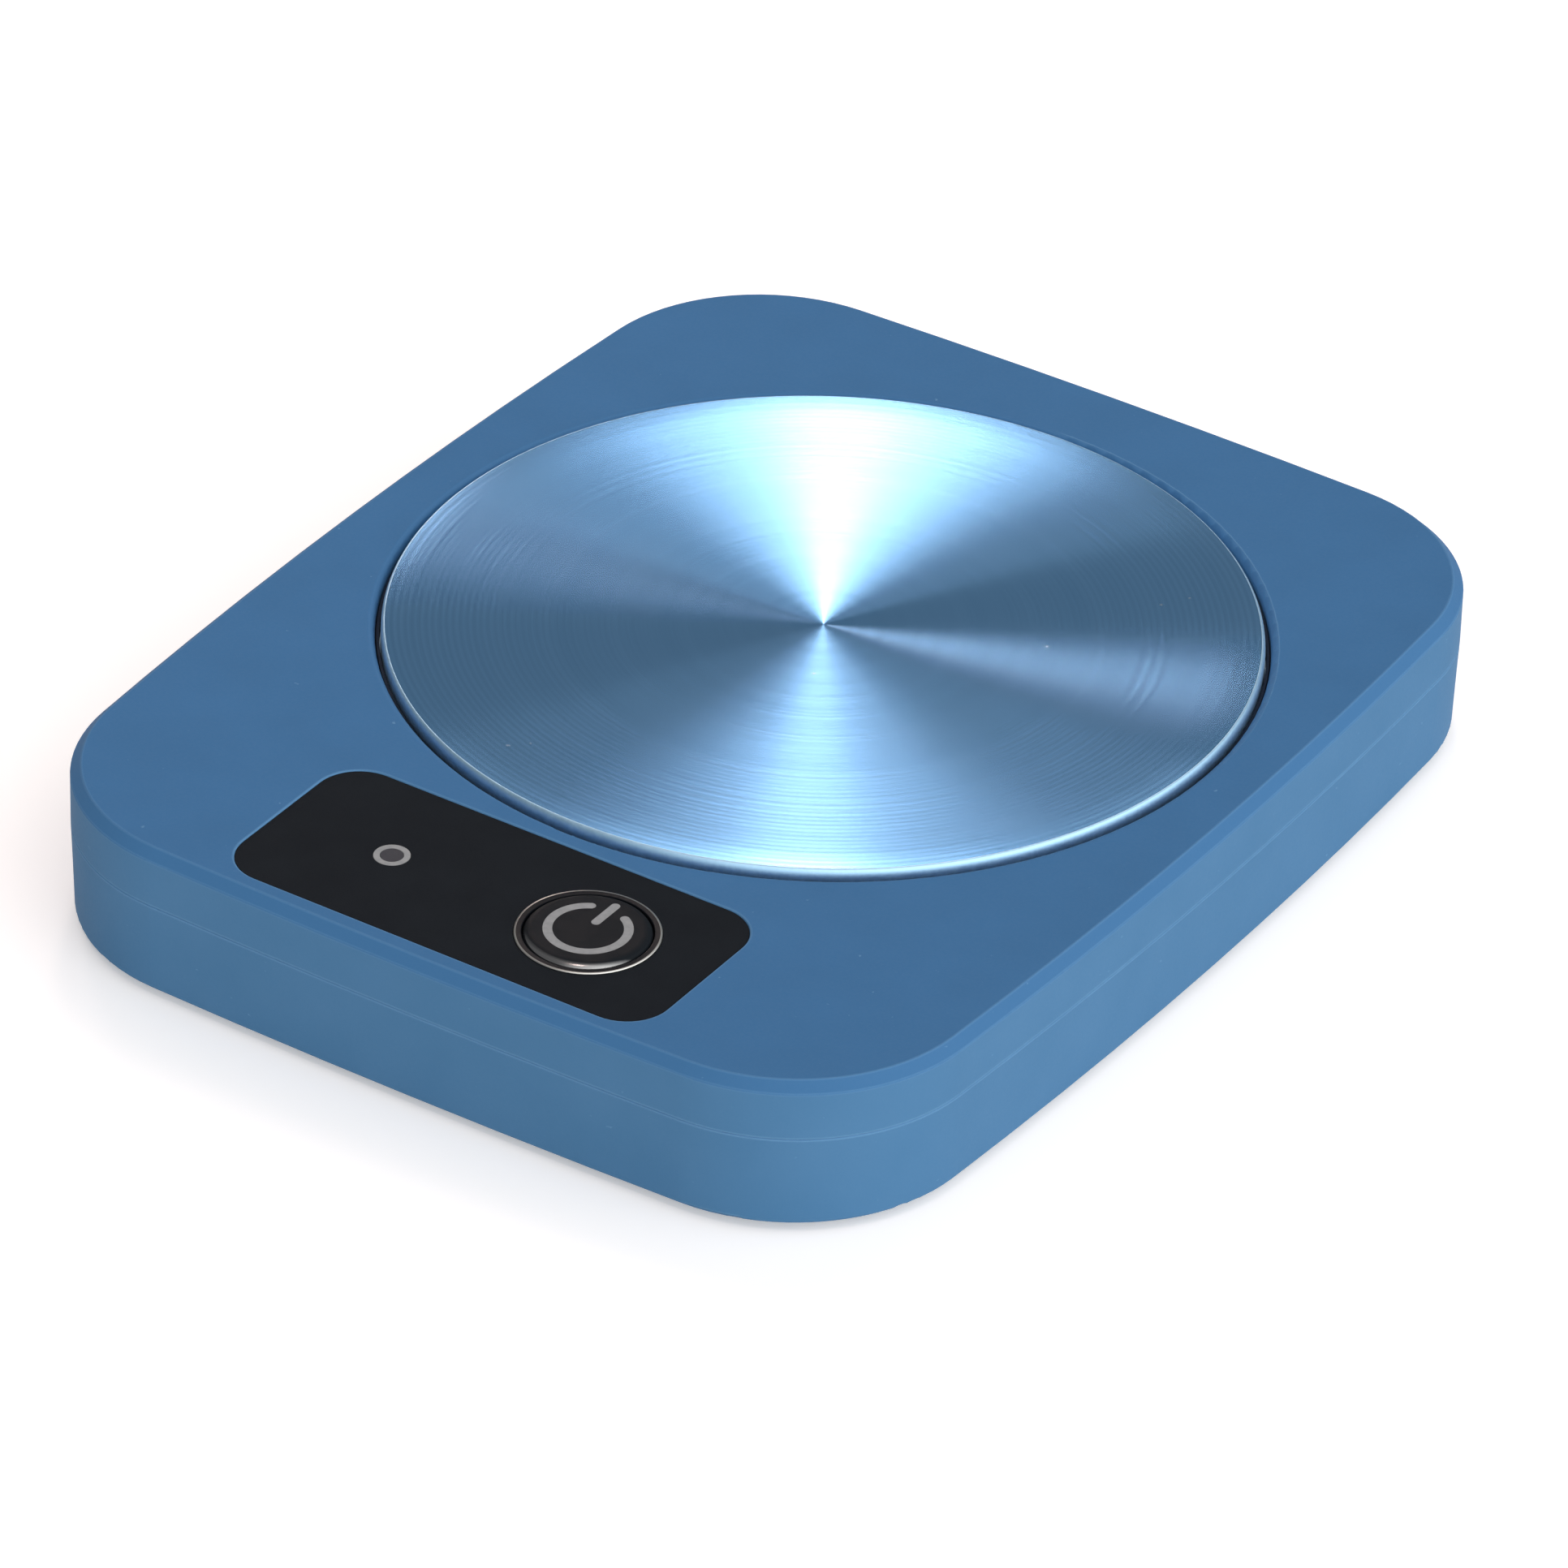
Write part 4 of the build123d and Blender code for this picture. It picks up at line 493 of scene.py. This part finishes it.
TRACK_SPACING = 3.2 * MM
TRACK_WIDTH = {"start": 0.06, "end": 0.10}  # in shares of the spacing, core and edge
TRACK_HEIGHT = 0.03 * MM
BOARD_TONES = ((0.010, 0.110, 0.035), (0.030, 0.200, 0.060))  # mask alone, mask over copper


def board_look():
    """Green solder mask over copper tracks."""
    look = Look("board_mask", {"Roughness": 0.3, "Coat Weight": 0.3, "Coat Roughness": 0.15})
    cells = {"Vector": look.place, "Scale": 1 / TRACK_SPACING, "Randomness": 0.6}
    kind = {"feature": "DISTANCE_TO_EDGE", "distance": "MANHATTAN"}
    tracks = look.node("TexVoronoi", cells, **kind).outputs[0]
    copper = look.spread(tracks, 1.0, 0.0, **TRACK_WIDTH)
    look.set("Base Color", look.mix(copper, *BOARD_TONES))
    look.set("Normal", look.bump(copper, TRACK_HEIGHT))
    return look


# ---- Heating plate: the CAD plate's shape, with its turned rings ---------------------
PLATE_SKIRT = 2.5 * MM
PLATE_THICKNESS = 2.5 * MM
FLANGE_THICKNESS = 1.0 * MM
FACE_RINGS = 12  # the flat face's rings of mesh
RIM_WIDTH = 0.40 * MM
RIM_DEPTH = 0.9 * MM
RIM_STEPS = 7
SEGMENTS = 288
SHARP_ANGLE = math.radians(30.0)


def lathe(name, axis, profile):
    """A turned solid: the profile's points are (radius, height), and both ends are on the axis."""
    mesh = bmesh.new()
    turns = [2 * math.pi * n / SEGMENTS for n in range(SEGMENTS)]
    rings = []
    for radius, height in profile:
        corners = turns if radius else [0.0]
        places = [(radius * math.cos(t), radius * math.sin(t)) for t in corners]
        rings.append([mesh.verts.new((axis[0] + x, axis[1] + y, height)) for x, y in places])
    for upper, lower in zip(rings, rings[1:]):
        for n in range(SEGMENTS):
            m = (n + 1) % SEGMENTS
            if len(upper) == 1:
                mesh.faces.new((upper[0], lower[n], lower[m]))
            elif len(lower) == 1:
                mesh.faces.new((upper[n], lower[0], upper[m]))
            else:
                mesh.faces.new((upper[n], lower[n], lower[m], upper[m]))
    bmesh.ops.recalc_face_normals(mesh, faces=mesh.faces)
    for face in mesh.faces:
        face.smooth = True
    for edge in mesh.edges:
        if edge.calc_face_angle(0.0) > SHARP_ANGLE:
            edge.smooth = False
    data = bpy.data.meshes.new(name)
    mesh.to_mesh(data)
    mesh.free()
    piece = bpy.data.objects.new(name, data)
    scene.collection.objects.link(piece)
    return piece


def make_plate():
    """The CAD plate again, with a finer rim and the looks of its turned face."""
    low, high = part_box("heating_plate")
    axis = ((low.x + high.x) / 2, (low.y + high.y) / 2)
    top, bottom = high.z, low.z
    face_edge = PLATE_RADIUS - RIM_WIDTH
    profile = [(face_edge * step / FACE_RINGS, top) for step in range(FACE_RINGS + 1)]
    for step in range(1, RIM_STEPS + 1):
        turn = math.pi / 2 * step / RIM_STEPS
        out, down = RIM_WIDTH * math.sin(turn), RIM_DEPTH * (1 - math.cos(turn))
        profile.append((face_edge + out, top - down))
    profile += [
        (PLATE_RADIUS, bottom + FLANGE_THICKNESS),
        (high.x - axis[0], bottom + FLANGE_THICKNESS),
        (high.x - axis[0], bottom),
        (PLATE_RADIUS - PLATE_SKIRT, bottom),
        (PLATE_RADIUS - PLATE_SKIRT, top - PLATE_THICKNESS),
        (0.0, top - PLATE_THICKNESS),
    ]
    plate = lathe("plate_turned", axis, profile)
    for look in (plate_look(axis), rim_look()):
        plate.data.materials.append(look.material)
    for face in plate.data.polygons:
        if (face.center.xy - Vector(axis)).length > face_edge:
            face.material_index = 1
    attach(plate, "case")
    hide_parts("heating_plate")


make_plate()

# ---- Every other CAD node keeps its shape and gets its finish ------------------------
looks = {slot: plain_look(slot, *finish) for slot, finish in FINISHES.items()}
looks["housing"] = housing_look()
looks["button"] = button_look()
looks["bezel"] = bezel_look()
looks["board"] = board_look()
for entry in frame["record"]["subparts"]:
    node = frame["nodes"][entry["node"]]
    if entry["material_slot"] in looks:
        node.data.materials.clear()
        node.data.materials.append(looks[entry["material_slot"]].material)

# ---- Floor ---------------------------------------------------------------------------
FLOOR_RADIUS = 12.0
FLOOR_SEGMENTS = 64
FLOOR_COLOUR = (0.88, 0.88, 0.88)
FLOOR_SHEEN = {"Roughness": 0.9, "Specular IOR Level": 0.1}
FLOOR_LIFT = 0.32  # added where the camera or a reflection sees the floor, so that it is white


def make_floor():
    """A pale disc that keeps the object's shadow."""
    mesh = bmesh.new()
    outline = {"radius": FLOOR_RADIUS, "segments": FLOOR_SEGMENTS}
    bmesh.ops.create_circle(mesh, cap_ends=True, **outline)
    data = bpy.data.meshes.new("floor")
    mesh.to_mesh(data)
    mesh.free()
    floor = bpy.data.objects.new("floor", data)
    scene.collection.objects.link(floor)
    look = Look("floor_paint", {"Base Color": FLOOR_COLOUR, **FLOOR_SHEEN})
    seen = look.node("LightPath", {}).outputs
    either = look.math("MAXIMUM", seen["Is Camera Ray"], seen["Is Glossy Ray"])
    any_of = look.math("MAXIMUM", either, seen["Is Transmission Ray"])
    look.set("Emission Color", (1.0, 1.0, 1.0))
    look.set("Emission Strength", look.math("MULTIPLY", any_of, FLOOR_LIFT))
    data.materials.append(look.material)


make_floor()

# ---- Light: a pale surround, brightest to the right, and soft lamps behind -----------
SURROUND_LEVEL = 0.238
BRIGHT_SIDE = (75.0, 2.25)  # its azimuth in degrees, as for the views, and what it adds
BACK_TINT = (1.0, 0.773, 0.703)
LAMP_AIM = Vector((0.0, 0.0, 0.01))
# name: azimuth and elevation in degrees, distance, width, height and watts
LAMPS = {
    "back_broad": (212.6, 57.0, 1.3, 0.60, 0.20, 1.74),
    "back_wide": (212.6, 50.0, 1.3, 0.25, 0.20, 0.80),
    "back_tall": (212.6, 60.0, 1.3, 0.10, 0.30, 0.72),
    "back_core": (212.6, 48.0, 1.3, 0.08, 0.16, 0.30),
    "back_glint": (212.6, 42.0, 1.3, 0.05, 0.08, 0.20),
    "back_low": (212.6, 20.0, 1.3, 0.06, 0.08, 0.05),
    "left_mid": (231.0, 19.0, 1.3, 0.10, 0.16, 0.36),
    "left_low": (229.0, 16.0, 1.3, 0.14, 0.22, 0.46),
    "left_lower": (228.0, 14.0, 1.3, 0.14, 0.22, 0.48),
    "left_lowest": (226.5, 13.5, 1.3, 0.16, 0.24, 0.46),
    "right_high": (180.0, 50.0, 1.3, 0.30, 0.30, 0.78),
    "left_high": (245.0, 50.0, 1.3, 0.30, 0.30, 0.50),
    "front_glint": (10.0, 60.0, 1.3, 0.24, 0.16, 1.50),
}


def make_world():
    """White surround, whose strength grows towards its bright side."""
    world = bpy.data.worlds.new("surround")
    world.use_nodes = True
    tree = world.node_tree
    background = tree.nodes["Background"]
    place = tree.nodes.new("ShaderNodeTexCoord")
    aside = tree.nodes.new("ShaderNodeVectorMath")
    aside.operation = "DOT_PRODUCT"
    level = tree.nodes.new("ShaderNodeMapRange")
    tree.links.new(place.outputs["Generated"], aside.inputs[0])
    aside.inputs[1].default_value = towards(BRIGHT_SIDE[0], 0.0)
    tree.links.new(aside.outputs["Value"], level.inputs["Value"])
    level.inputs["To Min"].default_value = SURROUND_LEVEL
    level.inputs["To Max"].default_value = SURROUND_LEVEL + BRIGHT_SIDE[1]
    tree.links.new(level.outputs["Result"], background.inputs["Strength"])
    background.inputs["Color"].default_value = (1.0, 1.0, 1.0, 1.0)
    scene.world = world


def make_lamp(name, azimuth, elevation, distance, width, height, watts):
    """A rectangular lamp that faces the object."""
    data = bpy.data.lights.new(name, "AREA")
    data.shape = "RECTANGLE"
    data.size, data.size_y = width, height
    data.energy, data.color = watts, BACK_TINT
    lamp = bpy.data.objects.new(name, data)
    scene.collection.objects.link(lamp)
    away = towards(azimuth, elevation)
    lamp.location = LAMP_AIM + distance * away
    lamp.rotation_euler = away.to_track_quat("Z", "Y").to_euler()
    lamp.visible_camera = False


make_world()
for lamp_name, values in LAMPS.items():
    make_lamp(lamp_name, *values)
scene.view_settings.view_transform = "Standard"
